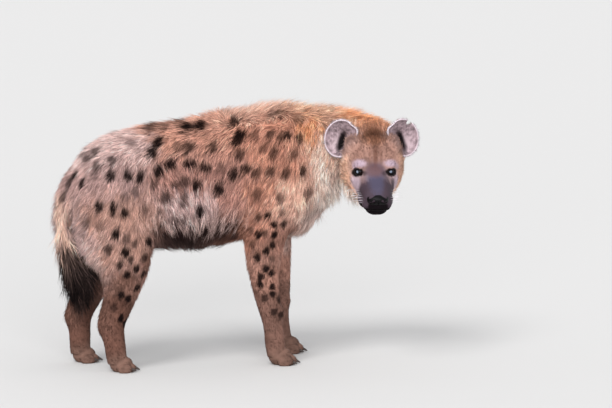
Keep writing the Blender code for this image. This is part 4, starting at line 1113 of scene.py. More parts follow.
# The ears' shape. The edge curls in from a share of the way out, has a corner towards
# the crown (turns in degrees, how much is added and over what span), and a fold runs
# round the bowl: its height, how far out, its span, and its shares all round and within.
EAR_CURL = 0.1
EAR_CURL_FROM = 0.82
EAR_CURL_DOWN = 0.004
EAR_EDGE = ((112, -0.035), (138, 0.11), (164, -0.04))
EAR_EDGE_SPAN = 12
EAR_FOLD = 0.004
EAR_FOLD_AT = 0.62
EAR_FOLD_SPAN = 0.1
EAR_FOLD_SHARES = (0.3, 0.7)


def ear_frame(side):
    """An ear's frame: x outwards, y along its length, z the way it opens."""
    out = EAR_UP.cross(EAR_OPEN).normalized()
    opening = out.cross(EAR_UP)
    if out.y > 0:
        out = -out
    if opening.x < 0:
        opening = -opening
    turn = Matrix((out, EAR_UP, opening)).transposed().to_4x4()
    flip = Matrix.Diagonal((1, -side, 1, 1))
    return HEAD_FRAME @ flip @ Matrix.Translation(EAR_AT) @ turn


def ear_edge(turn):
    """What is added to the ear's size at a turn in degrees."""
    return sum(grown * np.exp(-(((turn - at) / EAR_EDGE_SPAN) ** 2)) for at, grown in EAR_EDGE)


def ear_point(share, turn):
    """A place in an ear's bowl, in its own frame: how far out, and how far round."""
    half_long, half_wide = EAR_SIZE
    corner = ear_edge(math.degrees(turn))
    across = half_wide * share * math.cos(turn) * (1 + corner * share)
    along = half_long * share * math.sin(turn) * (1 + corner * share)
    deep = EAR_DEPTH * (1 - share**2)
    curl = EAR_CURL * smoothstep(EAR_CURL_FROM, 1, share)
    round_it, within = EAR_FOLD_SHARES
    fold = EAR_FOLD * math.exp(-(((share - EAR_FOLD_AT) / EAR_FOLD_SPAN) ** 2))
    fold *= round_it + within * max(0, -math.cos(turn))
    height = fold - deep - curl * EAR_CURL_DOWN
    return Vector((across * (1 - 0.5 * curl), along * (1 - 0.5 * curl), height))


def ear_form(side):
    """A cupped ear, side -1 for the right and 1 for the left."""
    frame = ear_frame(side)
    points = [ear_point(0, 0)]
    for ring in range(1, EAR_RINGS + 1):
        for i in range(EAR_SECTORS):
            points.append(ear_point(ring / EAR_RINGS, 2 * math.pi * i / EAR_SECTORS))
    count = EAR_SECTORS
    faces = [(0, 1 + i, 1 + (i + 1) % count) for i in range(count)]
    for a, b, d, c in band_faces(EAR_RINGS, count):
        faces.append((1 + a, 1 + c, 1 + d, 1 + b))
    ear = mesh_object("ear_form", [frame @ p for p in points], faces)
    add_modifier(ear, "SOLIDIFY", thickness=EAR_THICKNESS, offset=0)
    return evaluated(ear, "ear_form")


def ear_notch(side):
    """The form cut from the upper edge of an ear."""
    half_long, half_wide = EAR_SIZE
    across, along = half_wide * math.cos(EAR_NOTCH_TURN), half_long * math.sin(EAR_NOTCH_TURN)
    frame = ear_frame(side) @ Matrix.Translation((across, along, 0))
    frame = frame @ Matrix.Rotation(EAR_NOTCH_TURN, 4, "Z")
    return blob("notch", (0, 0, 0), EAR_NOTCH, frame, segments=16)


def with_ears(body):
    """The body with both ears, which have a material slot of their own."""
    for slot in ("skin", "ear"):
        body.data.materials.append(bpy.data.materials.new(slot))
    for side in (-1, 1):
        ear = ear_form(side)
        if side > 0:
            ear = boolean(ear, ear_notch(side), "DIFFERENCE", "EXACT")
        ear.data.materials.clear()
        for material in body.data.materials:
            ear.data.materials.append(material)
        ear.data.polygons.foreach_set("material_index", [1] * len(ear.data.polygons))
        body = boolean(body, ear, "UNION", "MANIFOLD")
    return body


UV_NAME = "OFBake"
UNWRAP_ANGLE = math.radians(66)
UNWRAP_MARGIN = 0.001


def unwrapped(skin):
    """The skin with an unwrap of its own shape."""
    bpy.ops.object.select_all(action="DESELECT")
    bpy.context.view_layer.objects.active = skin
    skin.select_set(True)
    skin.data.uv_layers.new(name=UV_NAME)
    bpy.ops.object.mode_set(mode="EDIT")
    bpy.ops.mesh.select_all(action="SELECT")
    bpy.ops.uv.smart_project(angle_limit=UNWRAP_ANGLE, island_margin=UNWRAP_MARGIN)
    bpy.ops.object.mode_set(mode="OBJECT")
    return skin


def skin_form(field):
    """The whole skin: body, head, paws and ears in one closed surface."""
    body = fused("skin", torso() + neck() + head() + tail() + all_legs(), BODY_VOXEL)
    body = refined(softened(body), on_head_or_paws)
    body = snapped(refined(body, near_face))
    body = inset(with_flat_soles(body), field)
    set_points(body.data, with_mouth(with_lids(points_of(body.data))))
    body = unwrapped(largest(with_ears(body)))
    body.name = "skin"
    return body


# The coat's field


# The tables are blended by distance, softened this much, so many places at a time.
FIELD_SOFT = 0.012
FIELD_CHUNK = 20000


def linear(colour):
    """A colour of 0 to 255 as light."""
    share = np.array(colour, float) / 255
    return np.where(share < 0.04045, share / 12.92, ((share + 0.055) / 1.055) ** 2.4)


COLOUR = {name: linear(value) for name, value in PALETTE.items()}


class Field:
    """What the coat is like from place to place, blended from lines of the tables."""

    def __init__(self):
        rows = []
        once = NECK_COAT + RUFF_COAT + TAIL_COAT
        for table, both in ((BODY_COAT, True), (once, False)):
            for place, lie, *rest in table:
                rows.append((Vector(place), Vector(lie), rest))
                if both and place[1]:
                    rows.append((flipped(place), flipped(lie), rest))
        for part, (*_, table) in enumerate(LEGS):
            for place, lie, *rest in table:
                for side, *aheads in LEG_SIDES:
                    at = Vector(place) if side < 0 else flipped(place)
                    at.x += swing(at.z, aheads[part])
                    way = Vector(lie) if side < 0 else flipped(lie)
                    rows.append((at, way, rest))
        turn = HEAD_FRAME.to_3x3()
        for place, lie, *rest in HEAD_COAT:
            rows.append((HEAD_FRAME @ Vector(place), turn @ Vector(lie), rest))
            if place[1]:
                rows.append((HEAD_FRAME @ flipped(place), turn @ flipped(lie), rest))
        self.places = np.array([row[0] for row in rows])
        self.lies = unit(np.array([row[1] for row in rows]))
        self.sizes = np.array([row[2][:5] for row in rows], float)
        self.colours = np.array([COLOUR[row[2][5]] for row in rows])

    def at(self, points):
        """The lie, the five sizes and the colour at each point."""
        found = []
        for start in range(0, len(points), FIELD_CHUNK):
            some = points[start : start + FIELD_CHUNK]
            gaps = (some**2).sum(axis=1)[:, None] + (self.places**2).sum(axis=1)[None]
            gaps = np.maximum(gaps - 2 * some @ self.places.T, 0)
            weights = 1 / (gaps + FIELD_SOFT**2) ** 2
            weights /= weights.sum(axis=1, keepdims=True)
            found.append(weights @ np.hstack((self.lies, self.sizes, self.colours)))
        found = np.concatenate(found)
        return found[:, :3], found[:, 3:8], found[:, 8:]


# Smooth noise is so many waves: how much closer or wider than asked, in what range each
# starts, and what brings their sum to about -1 to 1.
WAVES = 7
WAVE_PACE = (0.6, 1.5)
WAVE_START = 6.3
WAVE_SUM = 2.6
# Noise in colours and edges: how much, how long its waves are, and its seed.
GROUND_NOISE = ((0.13, 0.07, 21), (0.09, 0.022, 22))
MARK_NOISE = ((0.05, 0.012, 3),)
SPOT_NOISE = ((0.16, 0.018, 11),)
EAR_NOISE = ((0.3, 0.009, 31), (0.2, 0.02, 32))


def wavy(points, size, seed):
    """Smooth noise of about -1 to 1 at points, with waves of about the given size."""
    dice = np.random.default_rng(seed)
    total = np.zeros(len(points))
    for way in dice.normal(size=(WAVES, 3)):
        pace = 2 * math.pi / size * dice.uniform(*WAVE_PACE)
        start = dice.uniform(0, WAVE_START)
        total += np.sin(points @ (way / np.linalg.norm(way)) * pace + start)
    return total / WAVE_SUM


def about_one(points, noise):
    """Factors of about 1 at points, with the noise of a table."""
    return sum((amount * wavy(points, size, seed) for amount, size, seed in noise), 1)


def mixed(colours, name, share):
    """Colours with a share of a named one mixed in."""
    return colours + (COLOUR[name] - colours) * share[:, None]


# The photograph's view: the middle of the picture, its bearing and height, how far away
# the camera stands, its lens, and the width of its sensor in millimetres.
VIEW_AT = Vector((0.3829, 0, 0.4823))
VIEW_AZIMUTH = math.radians(-15)
VIEW_ELEVATION = math.radians(9)
VIEW_DISTANCE = 31.62
VIEW_LENS = 600
VIEW_SENSOR = 36
VIEW_CLIP = 200
PIXEL = VIEW_SENSOR / VIEW_LENS * VIEW_DISTANCE / PICTURE[0]
VIEW_RIGHT = Vector((math.cos(VIEW_AZIMUTH), math.sin(VIEW_AZIMUTH), 0))
VIEW_BACK = Vector(
    (
        math.sin(VIEW_AZIMUTH) * math.cos(VIEW_ELEVATION),
        -math.cos(VIEW_AZIMUTH) * math.cos(VIEW_ELEVATION),
        math.sin(VIEW_ELEVATION),
    )
)
VIEW_UP = VIEW_BACK.cross(VIEW_RIGHT)


def view_ray(px, py):
    """Where the ray through a place in the picture starts, and its direction."""
    start = VIEW_AT + VIEW_BACK * VIEW_DISTANCE
    at = VIEW_AT + VIEW_RIGHT * (px - PICTURE[0] / 2) * PIXEL
    at += VIEW_UP * (PICTURE[1] / 2 - py) * PIXEL
    return start, (at - start).normalized()


def leaning(lean):
    """The picture's up and right, turned by a lean in degrees."""
    turn = math.radians(lean)
    up = VIEW_UP * math.cos(turn) + VIEW_RIGHT * math.sin(turn)
    return up, VIEW_RIGHT * math.cos(turn) - VIEW_UP * math.sin(turn)


def placed_marks(surface):
    """The marks of the face: each one's middle, axes and radii, colour and strength."""
    found = []
    for px, py, wide, high, lean, *look in FACE_MARKS:
        hit = surface.ray_cast(*view_ray(px, py))[0]
        along, across = leaning(lean)
        axes = np.array((across, along, VIEW_BACK)).T
        radii = (wide * PIXEL, high * PIXEL, FACE_MARK_DEPTH)
        found.append((np.array(hit), axes, radii, look))
    return found


def placed_spots(surface):
    """Every spot: its middle, long axis and normal, its half-sizes and darkness, and the
    part of the view along which distances aren't counted."""
    dice = np.random.default_rng(SEED)
    found = []
    for half, spots in SPOTS:
        for px, py, dark, *shape in spots:
            stretch, lean = shape or SPOT_SHAPE
            dark = 1 - (1 - dark) ** SPOT_DEEPER
            hit, normal = surface.ray_cast(*view_ray(px, py))[:2]
            if hit is None:
                continue
            long = leaning(lean)[0]
            long = (long - normal * normal.dot(long)).normalized()
            sizes = (half * math.sqrt(stretch), half / math.sqrt(stretch))
            on_top = float(smoothstep(*SPOT_ON_TOP, normal.z))
            back = VIEW_BACK * math.sqrt(SPOT_ALONG_VIEW * on_top)
            found.append((hit, long, normal, sizes, dark, back))
            beyond = flipped(hit) + Vector(dice.normal(0, SPOT_SCATTER, 3))
            hit, normal = surface.find_nearest(beyond)[:2]
            long = flipped(long)
            long = (long - normal * normal.dot(long)).normalized()
            found.append((hit, long, normal, sizes, dark * LEFT_SPOT_DARK, flipped(back)))
    return found


def spotted(points, spots):
    """How dark spots make each point, 0 to 1."""
    share = np.zeros(len(points))
    rough = about_one(points, SPOT_NOISE)
    for middle, long, normal, (half_long, half_wide), dark, back in spots:
        gap = points - np.array(middle)
        near = np.nonzero((gap**2).sum(axis=1) < (SPOT_REACH * half_long) ** 2)[0]
        if not len(near):
            continue
        gap = gap[near]
        gap = gap - np.outer(gap @ np.array(back), np.array(back))
        u = gap @ np.array(long) / half_long
        v = gap @ np.array(normal.cross(long)) / half_wide
        w = gap @ np.array(normal) / SPOT_DEPTH
        far = np.sqrt(u**2 + v**2 + w**2) * rough[near]
        share[near] = np.maximum(share[near], dark * (1 - smoothstep(*SPOT_EDGE, far)))
    return share


def head_marked(colours, points, face_marks):
    """Colours with the marks of the head laid over them."""

    def laid(gaps, name, strength, soft):
        far = np.sqrt((gaps**2).sum(axis=1)) * rough
        return mixed(colours, name, strength * (1 - smoothstep(1 - soft / 2, 1 + soft / 2, far)))

    at = in_head(points)
    rough = about_one(points, MARK_NOISE)
    for place, radii, *look in HEAD_MARKS:
        for side in (1, -1) if place[1] else (1,):
            colours = laid((at - np.array(place) * (1, side, 1)) / radii, *look)
    for middle, axes, radii, look in face_marks:
        colours = laid((points - middle) @ axes / radii, *look)
    return colours


def coat_colours(points, colours, marks):
    """The coat's colour at points: its ground colour, then the marks and the spots."""
    spots, face_marks = marks
    colours = colours * about_one(points, GROUND_NOISE)[:, None]
    colours = head_marked(colours, points, face_marks)
    return mixed(colours, "spot", spotted(points, spots))


# The ears' coat, by the measures of the coat's tables, and how far from an ear's bowl it
# counts. Inside, its length and cover are these in the middle with so much more on the
# rim, where it lies outwards. It also lies a little up inside and towards the back behind.
EAR_INSIDE = (10, 0, 20, 0.9, 2)
EAR_BACK = (9, 0, 14, 1, 2.4)
EAR_REACH = 1.25
EAR_NEAR = 0.06
EAR_RIM_COAT = (0.84, 0.96)
EAR_LENGTHS = (9, -2)
EAR_COVERS = (1, 2.6)
EAR_INWARD_UP = 0.02
EAR_BACK_DOWN = 0.3
# The ears' colours: the canal's middle, half-sizes and lean, and the edge of the painted
# shade in its opening; the pale rim's edge; soft patches beside and along the canal,
# painted shade beside it and a pale fold along it, each a middle, a span, again a middle
# and a span, a colour and its strength; and how dark the back is.
EAR_CANAL = (0.001, -0.012, 0.0122, 0.036, -0.1)
EAR_CANAL_EDGE = (0.55, 1.35)
EAR_RIM_COLOUR = (0.9, 0.975)
EAR_PATCHES = (
    (-0.006, 0.016, 0.014, 0.026, "ear_inner_shade", 0.75),
    (0.018, 0.008, -0.012, 0.022, "ear_fold", 0.55),
)
EAR_BACK_DARK = 0.35


def ear_place(points, side):
    """Points in an ear's frame, how far out they are, and which are near the ear."""
    at = moved(points, ear_frame(side).inverted())
    across, along = at[:, 0] / EAR_SIZE[1], at[:, 1] / EAR_SIZE[0]
    share = np.hypot(across, along)
    share /= 1 + ear_edge(np.degrees(np.arctan2(along, across))) * np.minimum(share, 1)
    return at, share, (share < EAR_REACH) & (np.abs(at[:, 2]) < EAR_NEAR)


def ear_colours(at, share, inner):
    """Colours on an ear, from places in its frame, with painted shade in and beside its canal."""
    x, y, half_wide, half_long, lean = EAR_CANAL
    along = at[:, 1] - y
    beside = at[:, 0] - x + lean * along
    inside = np.tile(COLOUR["ear_inside"], (len(at), 1))
    inside *= about_one(at, EAR_NOISE)[:, None]
    for out, out_span, up, up_span, name, strength in EAR_PATCHES:
        patch = np.exp(-(((beside - out) / out_span) ** 2) - ((along - up) / up_span) ** 2)
        inside = mixed(inside, name, strength * patch)
    inside = mixed(inside, "ear_rim", smoothstep(*EAR_RIM_COLOUR, share))
    canal_shade = np.hypot(beside / half_wide, along / half_long)
    inside = mixed(inside, "canal_shade", 1 - smoothstep(*EAR_CANAL_EDGE, canal_shade))
    back = COLOUR["ear_back"] + (COLOUR["dark"] - COLOUR["ear_back"]) * EAR_BACK_DARK
    return np.where(inner[:, None], inside, back)


def ear_coat(points, normals, lies, sizes, colours):
    """The coat on the ears: short behind, long and pale inside the rim."""
    for side in (-1, 1):
        at, share, near = ear_place(points, side)
        near = np.nonzero(near)[0]
        if not len(near):
            continue
        axes = np.array(ear_frame(side).to_3x3())
        inner = normals[near] @ axes[:, 2] > 0
        rim = smoothstep(*EAR_RIM_COAT, share[near])
        inward = -axes[:, :2] @ np.stack((at[near, 0], at[near, 1]))
        inward = unit(inward.T + axes[:, 1] * EAR_INWARD_UP) * (1 - 2 * rim)[:, None]
        behind = axes[:, 1] - axes[:, 2] * EAR_BACK_DOWN
        lies[near] = np.where(inner[:, None], inward, behind)
        sizes[near] = np.where(inner[:, None], EAR_INSIDE, EAR_BACK)
        for k, (middle, more) in ((0, EAR_LENGTHS), (4, EAR_COVERS)):
            sizes[near, k] = np.where(inner, middle + more * rim, sizes[near, k])
        colours[near] = ear_colours(at[near], share[near], inner)
    return lies, sizes, colours


# The coat's tufts


# Two kinds of tuft. Of a tuft's seven corners, three are about its root, three at its
# bend and one is its tip. Each kind has the corners it uses, its faces, its patch on
# the unwrap, how bright each corner is, darker about the root as painted shade within the
# coat and brighter at the tip, and which of the tuft's three colours each takes: the
# root's, the bend's or the tip's. The last is its count of triangles.
TuftKind = namedtuple("TuftKind", "corners faces patch shades places triangles")
LONG = TuftKind(
    (0, 1, 2, 3, 4, 5, 6),
    ((0, 1, 4, 3), (1, 2, 5, 4), (2, 0, 3, 5), (3, 4, 6), (4, 5, 6), (5, 3, 6), (0, 2, 1)),
    ((-0.5, -0.5), (0.5, -0.5), (0, -0.4), (-0.4, 0), (0.4, 0), (0, 0.1), (0, 0.5)),
    (0.5, 0.5, 0.54, 0.9, 0.9, 1, 1.2),
    (0, 0, 0, 1, 1, 1, 2),
    10,
)
SHORT = TuftKind(
    (0, 1, 2, 6),
    ((0, 1, 3), (1, 2, 3), (2, 0, 3), (0, 2, 1)),
    ((-0.5, -0.5), (0.5, -0.5), (0, -0.4), (0, 0.5)),
    (0.62, 0.62, 0.68, 1.14),
    (0, 0, 0, 2),
    4,
)
# The whole coat: its triangles, the most in one piece, below which length in
# millimetres a tuft is of the short kind, and the size of a tuft's patch on the unwrap.
COAT_TRIANGLES = 1460000
PIECE_TRIANGLES = 180000
SHORT_TUFT = 19
PATCH = 0.003
SQUARE_MM = 1e-6
# A tuft: how deep its root is sunk, where along it bends, by what share it rises more
# before the bend and less after, how thick it is for its width, and how wide at the
# bend. It stays off the floor.
TUFT_SUNK = 0.0015
TUFT_BEND_AT = 0.45
TUFT_FLATTEN = 0.4
TUFT_THICK = 0.4
TUFT_BEND_WIDE = 0.85
TUFT_OFF_FLOOR = 0.0008
# How much tufts differ, as shares or in radians.
LENGTH_SPREAD = 0.26
LENGTH_LIMITS = (0.45, 1.4)
TURN_SPREAD = 0.16
RISE_RANGE = (0.7, 1.3)
WIDTH_RANGE = (0.75, 1.25)
# Clumps: how many, how much they differ in length, turn and rise, and how their tufts
# lean to the middle: the most in tuft lengths, how strongly, and how that is shared
# out before and after the bend.
CLUMPS = 22000
CLUMP_LENGTH = 0.12
CLUMP_TURN = 0.17
CLUMP_RISE = 0.15
CLUMP_REACH = 0.5
CLUMP_PULL = 0.55
CLUMP_SHARES = (0.45, 0.55)
# Shades of tufts and clumps, their limits, and the share of tufts that are brighter.
SHADE_SPREAD = 0.2
CLUMP_SHADE = 0.17
SHADE_LIMITS = (0.4, 1.7)
BRIGHT_TUFTS = 0.1
BRIGHTER = 1.35
# Where along a tuft its two outer colours are taken, and how far beside its clump the
# ground colour is, in tuft lengths up to a longest one in millimetres.
COLOUR_AT = (0.7, 0.97)
COLOUR_STRAY = 0.35
MAX_STRAY = 36
# Over the lower flank pale hair and dark hair mix: where in x and z, how far about,
# how much, the share of pale clumps, and the heights between which they set in.
MIXED_AT = (0, 0.462)
MIXED_SIZE = (0.17, 0.055)
MIXED_SHARE = 0.75
MIXED_PALE = 0.6
MIXED_PALE_ABOVE = (0.415, 0.475)
# Regions of the coat: where the neck begins in x and z, how high the legs reach, where
# they begin in x, and the tail's half-width, lowest and highest place and half-depth.
NECK_FROM = (0.355, 0.3)
LEGS_TOP = 0.36
LEGS_FROM = 0.05
TAIL_HALF_WIDTH = 0.036
TAIL_HEIGHTS = (0.2, 0.6)
TAIL_HALF_DEPTH = 0.03
# No hair grows on the soles, on the nose, or by the eyes: the soles' normal, how far out
# of the nose and of the lids' opening that ends, and how near an eye's middle it counts.
SOLE_NORMAL = -0.6
NOSE_BARE = 0.97
LIDS_BARE = 1.22
EYE_REACH = 0.03


def bare(points, normals):
    """Where no hair grows: eyes, mouth, nose and soles."""
    none = (normals[:, 2] < SOLE_NORMAL) & (points[:, 2] < SOLE_FADE)
    at = in_head(points)
    none |= (((at - NOSE_AT) / (np.array(NOSE_SIZE) * NOSE_BARE)) ** 2).sum(axis=1) < 1
    for side in (-1, 1):
        eye = moved(points, eye_frame(side).inverted())
        near = np.linalg.norm(eye, axis=1) < EYE_REACH
        none |= (slit_share(eye) < LIDS_BARE) & (eye[:, 0] > 0) & near
    return none


def triangles_of(mesh):
    """A mesh's triangles: their corners, areas, places on the unwrap, and material."""
    mesh.calc_loop_triangles()
    corners = values_of(mesh.loop_triangles, "vertices", 3, np.int32)
    loops = values_of(mesh.loop_triangles, "loops", 3, np.int32)
    owners = values_of(mesh.loop_triangles, "polygon_index", 1, np.int32)
    slots = values_of(mesh.polygons, "material_index", 1, np.int32)
    uv = np.empty(len(mesh.loops) * 2, np.float32)
    mesh.uv_layers[UV_NAME].data.foreach_get("uv", uv)
    p = points_of(mesh)[corners]
    areas = np.linalg.norm(np.cross(p[:, 1] - p[:, 0], p[:, 2] - p[:, 0]), axis=1) / 2
    return corners, areas, uv.reshape(-1, 2)[loops], slots[owners]


def rooted(skin, field):
    """Where the tufts are rooted, and each one's lie, sizes and colour."""

    def coat_at(places, facing, ear):
        lies, sizes, colours = field.at(places)
        lies[ear], sizes[ear], colours[ear] = ear_coat(
            places[ear], facing[ear], lies[ear], sizes[ear], colours[ear]
        )
        return lies, sizes, colours

    dice = np.random.default_rng(SEED)
    mesh = skin.data
    corners, areas, maps, slots = triangles_of(mesh)
    points, normals = points_of(mesh), normals_of(mesh)
    middles = points[corners].mean(axis=1)
    facing = unit(normals[corners].mean(axis=1) + 1e-12)
    sizes = coat_at(middles, facing, slots == 1)[1]
    wanted = areas * sizes[:, 4] / (sizes[:, 0] * sizes[:, 3] * SQUARE_MM)
    wanted[bare(middles, facing)] = 0
    cost = np.where(sizes[:, 0] < SHORT_TUFT, SHORT.triangles, LONG.triangles)
    wanted *= COAT_TRIANGLES / (wanted * cost).sum()
    total = np.concatenate(([0], np.cumsum(wanted))) + dice.uniform()
    counts = np.diff(np.floor(total)).astype(int)
    owner = np.repeat(np.arange(len(counts)), counts)
    share = dice.dirichlet((1, 1, 1), len(owner))[:, :, None]
    place = (points[corners[owner]] * share).sum(axis=1)
    normal = unit((normals[corners[owner]] * share).sum(axis=1))
    uv = (maps[owner] * share).sum(axis=1)
    ear = slots[owner] == 1
    lies, sizes, colours = coat_at(place, normal, ear)
    lies = unit(lies - normal * (lies * normal).sum(axis=1, keepdims=True) + 1e-9)
    return place, normal, uv, lies, sizes, colours, ear


def clumped(place):
    """The clump of each tuft, the way to its middle, and how many clumps there are."""
    middles = place[:: max(1, int(len(place) / CLUMPS))]
    tree = KDTree(len(middles))
    for k, middle in enumerate(middles):
        tree.insert(middle, k)
    tree.balance()
    nearest = np.array([tree.find(at)[1] for at in place])
    return nearest, middles[nearest] - place, len(middles)


def tuft_lines(place, normal, lies, sizes, dice):
    """Each tuft's root, bend and tip, and its width and clump."""

    def turned(way, angle, towards):
        return way * np.cos(angle)[:, None] + towards * np.sin(angle)[:, None]

    count = len(place)
    clump, way, clumps = clumped(place)
    turn = dice.normal(0, TURN_SPREAD, count) + dice.normal(0, CLUMP_TURN, clumps)[clump]
    lie = turned(lies, turn, np.cross(normal, lies))
    longer = 1 + dice.normal(0, LENGTH_SPREAD, count)
    longer = longer + dice.normal(0, CLUMP_LENGTH, clumps)[clump]
    length = sizes[:, 0] / MM_PER_M * np.clip(longer, *LENGTH_LIMITS)
    rise = np.radians(sizes[:, 2]) * dice.uniform(*RISE_RANGE, count)
    rise *= (1 + dice.normal(0, CLUMP_RISE, clumps))[clump]
    first = turned(lie, rise * (1 + TUFT_FLATTEN), normal)
    second = turned(lie, rise * (1 - TUFT_FLATTEN), normal)
    root = place - normal * TUFT_SUNK
    reach = np.linalg.norm(way, axis=1, keepdims=True)
    pull = way * np.clip(length[:, None] * CLUMP_REACH / (reach + 1e-6), 0, 1) * CLUMP_PULL
    bend = root + first * (length * TUFT_BEND_AT)[:, None] + pull * CLUMP_SHARES[0]
    tip = bend + second * (length * (1 - TUFT_BEND_AT))[:, None] + pull * CLUMP_SHARES[1]
    for line in (bend, tip):
        line[:, 2] = np.maximum(line[:, 2], TUFT_OFF_FLOOR)
    width = sizes[:, 3] / MM_PER_M * dice.uniform(*WIDTH_RANGE, count)
    return root, bend, tip, width, clump, clumps


def tuft_points(root, bend, tip, normal, width):
    """The seven corners of each tuft, three about its root, three at its bend, its tip."""
    rings = []
    for at, way, wide in ((root, bend - root, 1), (bend, tip - root, TUFT_BEND_WIDE)):
        along = unit(way)
        across = unit(np.cross(normal, along) + 1e-9)
        up = np.cross(along, across)
        half = across * (width * wide / 2)[:, None]
        rings += [at - half, at + half, at + up * (width * wide * TUFT_THICK)[:, None]]
    return np.stack(rings + [tip], axis=1)


def add_tint(mesh, colours):
    """Gives a mesh smooth faces and a colour at each of its points."""
    values = np.ones((len(mesh.vertices), 4), np.float32)
    values[:, :3] = np.clip(colours, 0, 1)
    tint = mesh.color_attributes.new(name="tint", type="FLOAT_COLOR", domain="POINT")
    tint.data.foreach_set("color", values.ravel())
    mesh.polygons.foreach_set("use_smooth", np.ones(len(mesh.polygons), bool))


def tuft_mesh(name, corners, tints, uv, kind):
    """One mesh of many tufts, with their tints and their places on the unwrap."""
    count, each = len(corners), len(kind.corners)
    pattern = np.array([i for face in kind.faces for i in face])
    loops = (pattern[None] + each * np.arange(count)[:, None]).ravel()
    totals = np.tile([len(face) for face in kind.faces], count)
    mesh = bpy.data.meshes.new(name)
    mesh.vertices.add(count * each)
    mesh.vertices.foreach_set("co", corners[:, kind.corners].astype(np.float32).ravel())
    mesh.loops.add(len(loops))
    mesh.loops.foreach_set("vertex_index", loops.astype(np.int32))
    mesh.polygons.add(len(totals))
    starts = np.concatenate(([0], np.cumsum(totals)[:-1])).astype(np.int32)
    mesh.polygons.foreach_set("loop_start", starts)
    mesh.update(calc_edges=True)
    layer = mesh.uv_layers.new(name=UV_NAME)
    spread = uv[:, None, :] + np.array(kind.patch)[None] * PATCH
    layer.data.foreach_set("uv", spread[:, pattern].astype(np.float32).ravel())
    shades = np.array(kind.shades)[None, :, None]
    add_tint(mesh, (tints[:, kind.places] * shades).reshape(-1, 3))
    return linked(name, mesh)


def regions(place, ear):
    """The region of the body that each tuft belongs to, by name."""
    x, y, z = place.T
    found = np.where(y < 0, "torso_right", "torso_left").astype(object)
    found[(x > NECK_FROM[0]) & (z > NECK_FROM[1])] = "neck"
    found[head_share(place) > 0.5] = "head"
    found[(z < LEGS_TOP) & (x > LEGS_FROM)] = "forelegs"
    found[(z < LEGS_TOP) & (x <= -LEGS_FROM)] = "hindlegs"
    tail_x = np.interp(z, [row[2] for row in TAIL[::-1]], [row[0] for row in TAIL[::-1]])
    low, high = TAIL_HEIGHTS
    on_tail = (np.abs(y) < TAIL_HALF_WIDTH) & (x < tail_x + TAIL_HALF_DEPTH)
    found[on_tail & (z > low) & (z < high)] = "tail"
    found[ear] = "ears"
    return found


def tuft_shades(clump, clumps, dice):
    """How bright each tuft is."""
    count = len(clump)
    shade = 1 + dice.normal(0, SHADE_SPREAD, count) + dice.normal(0, CLUMP_SHADE, clumps)[clump]
    shade = np.clip(shade, *SHADE_LIMITS)
    shade[dice.uniform(size=count) < BRIGHT_TUFTS] *= BRIGHTER
    return shade


def with_mixed_hair(colours, place, clump, clumps, dice):
    """Ground colours with pale and dark hair mixed in over the lower flank."""
    low = np.exp(-(((place[:, 2] - MIXED_AT[1]) / MIXED_SIZE[1]) ** 2))
    low *= np.exp(-(((place[:, 0] - MIXED_AT[0]) / MIXED_SIZE[0]) ** 4))
    pale = MIXED_PALE * smoothstep(*MIXED_PALE_ABOVE, place[:, 2])
    pale = dice.uniform(size=clumps)[clump] < pale
    pale = np.where(pale[:, None], COLOUR["strand"], COLOUR["belly"])
    return colours + (pale - colours) * (MIXED_SHARE * low)[:, None]


def tuft_tints(root, bend, tip, lies, lengths, colours, ear, marks, dice):
    """Each tuft's colours at its root, at its bend and at its tip."""
    outer = [(at - TUFT_BEND_AT) / (1 - TUFT_BEND_AT) for at in COLOUR_AT]
    tints = np.stack([colours] * 3, axis=1)
    for k, line in enumerate((root, *(bend + (tip - bend) * share for share in outer))):
        shift = dice.normal(0, SPOT_FUZZ, len(root)) * lengths / MM_PER_M
        seen = line + lies * shift[:, None]
        tints[~ear, k] = coat_colours(seen[~ear], colours[~ear], marks)
    return tints


def coat(skin, field, marks):
    """The whole coat, as joined meshes of tufts."""
    place, normal, uv, lies, sizes, colours, ear = rooted(skin, field)
    lengths = sizes[:, 0]
    dice = np.random.default_rng(SEED + 1)
    root, bend, tip, width, clump, clumps = tuft_lines(place, normal, lies, sizes, dice)
    corners = tuft_points(root, bend, tip, normal, width)
    shade = tuft_shades(clump, clumps, dice)
    reach = np.minimum(lengths, MAX_STRAY) / MM_PER_M
    stray = dice.normal(0, COLOUR_STRAY, (clumps, 3))[clump] * reach[:, None]
    colours[~ear] = field.at((place + stray)[~ear])[2]
    colours = with_mixed_hair(colours, place, clump, clumps, dice)
    tints = tuft_tints(root, bend, tip, lies, lengths, colours, ear, marks, dice)
    tints *= shade[:, None, None]
    named = regions(place, ear)
    short = lengths < SHORT_TUFT
    made = []
    for region in sorted(set(named)):
        for kind, mine, label in ((LONG, ~short, ""), (SHORT, short, "_short")):
            members = np.nonzero((named == region) & mine)[0]
            parts = -(-len(members) * kind.triangles // PIECE_TRIANGLES)
            for k, some in enumerate(np.array_split(members, parts) if parts else ()):
                name = f"coat_{region}{label}_{k + 1}"
                made.append(tuft_mesh(name, corners[some], tints[some], uv[some], kind))
    return made


# The skin's colours. It is darkened under long hair as painted shade of the coat, by so
# much between two lengths, and the lips are dark: how far from the mouth line, and from
# where on the head.
UNDER_COAT_SHADE = 0.4
UNDER_COAT_LENGTHS = (6, 30)
LIPS_EDGE = (0.003, 0.006)
LIPS_FROM_X = 0.16


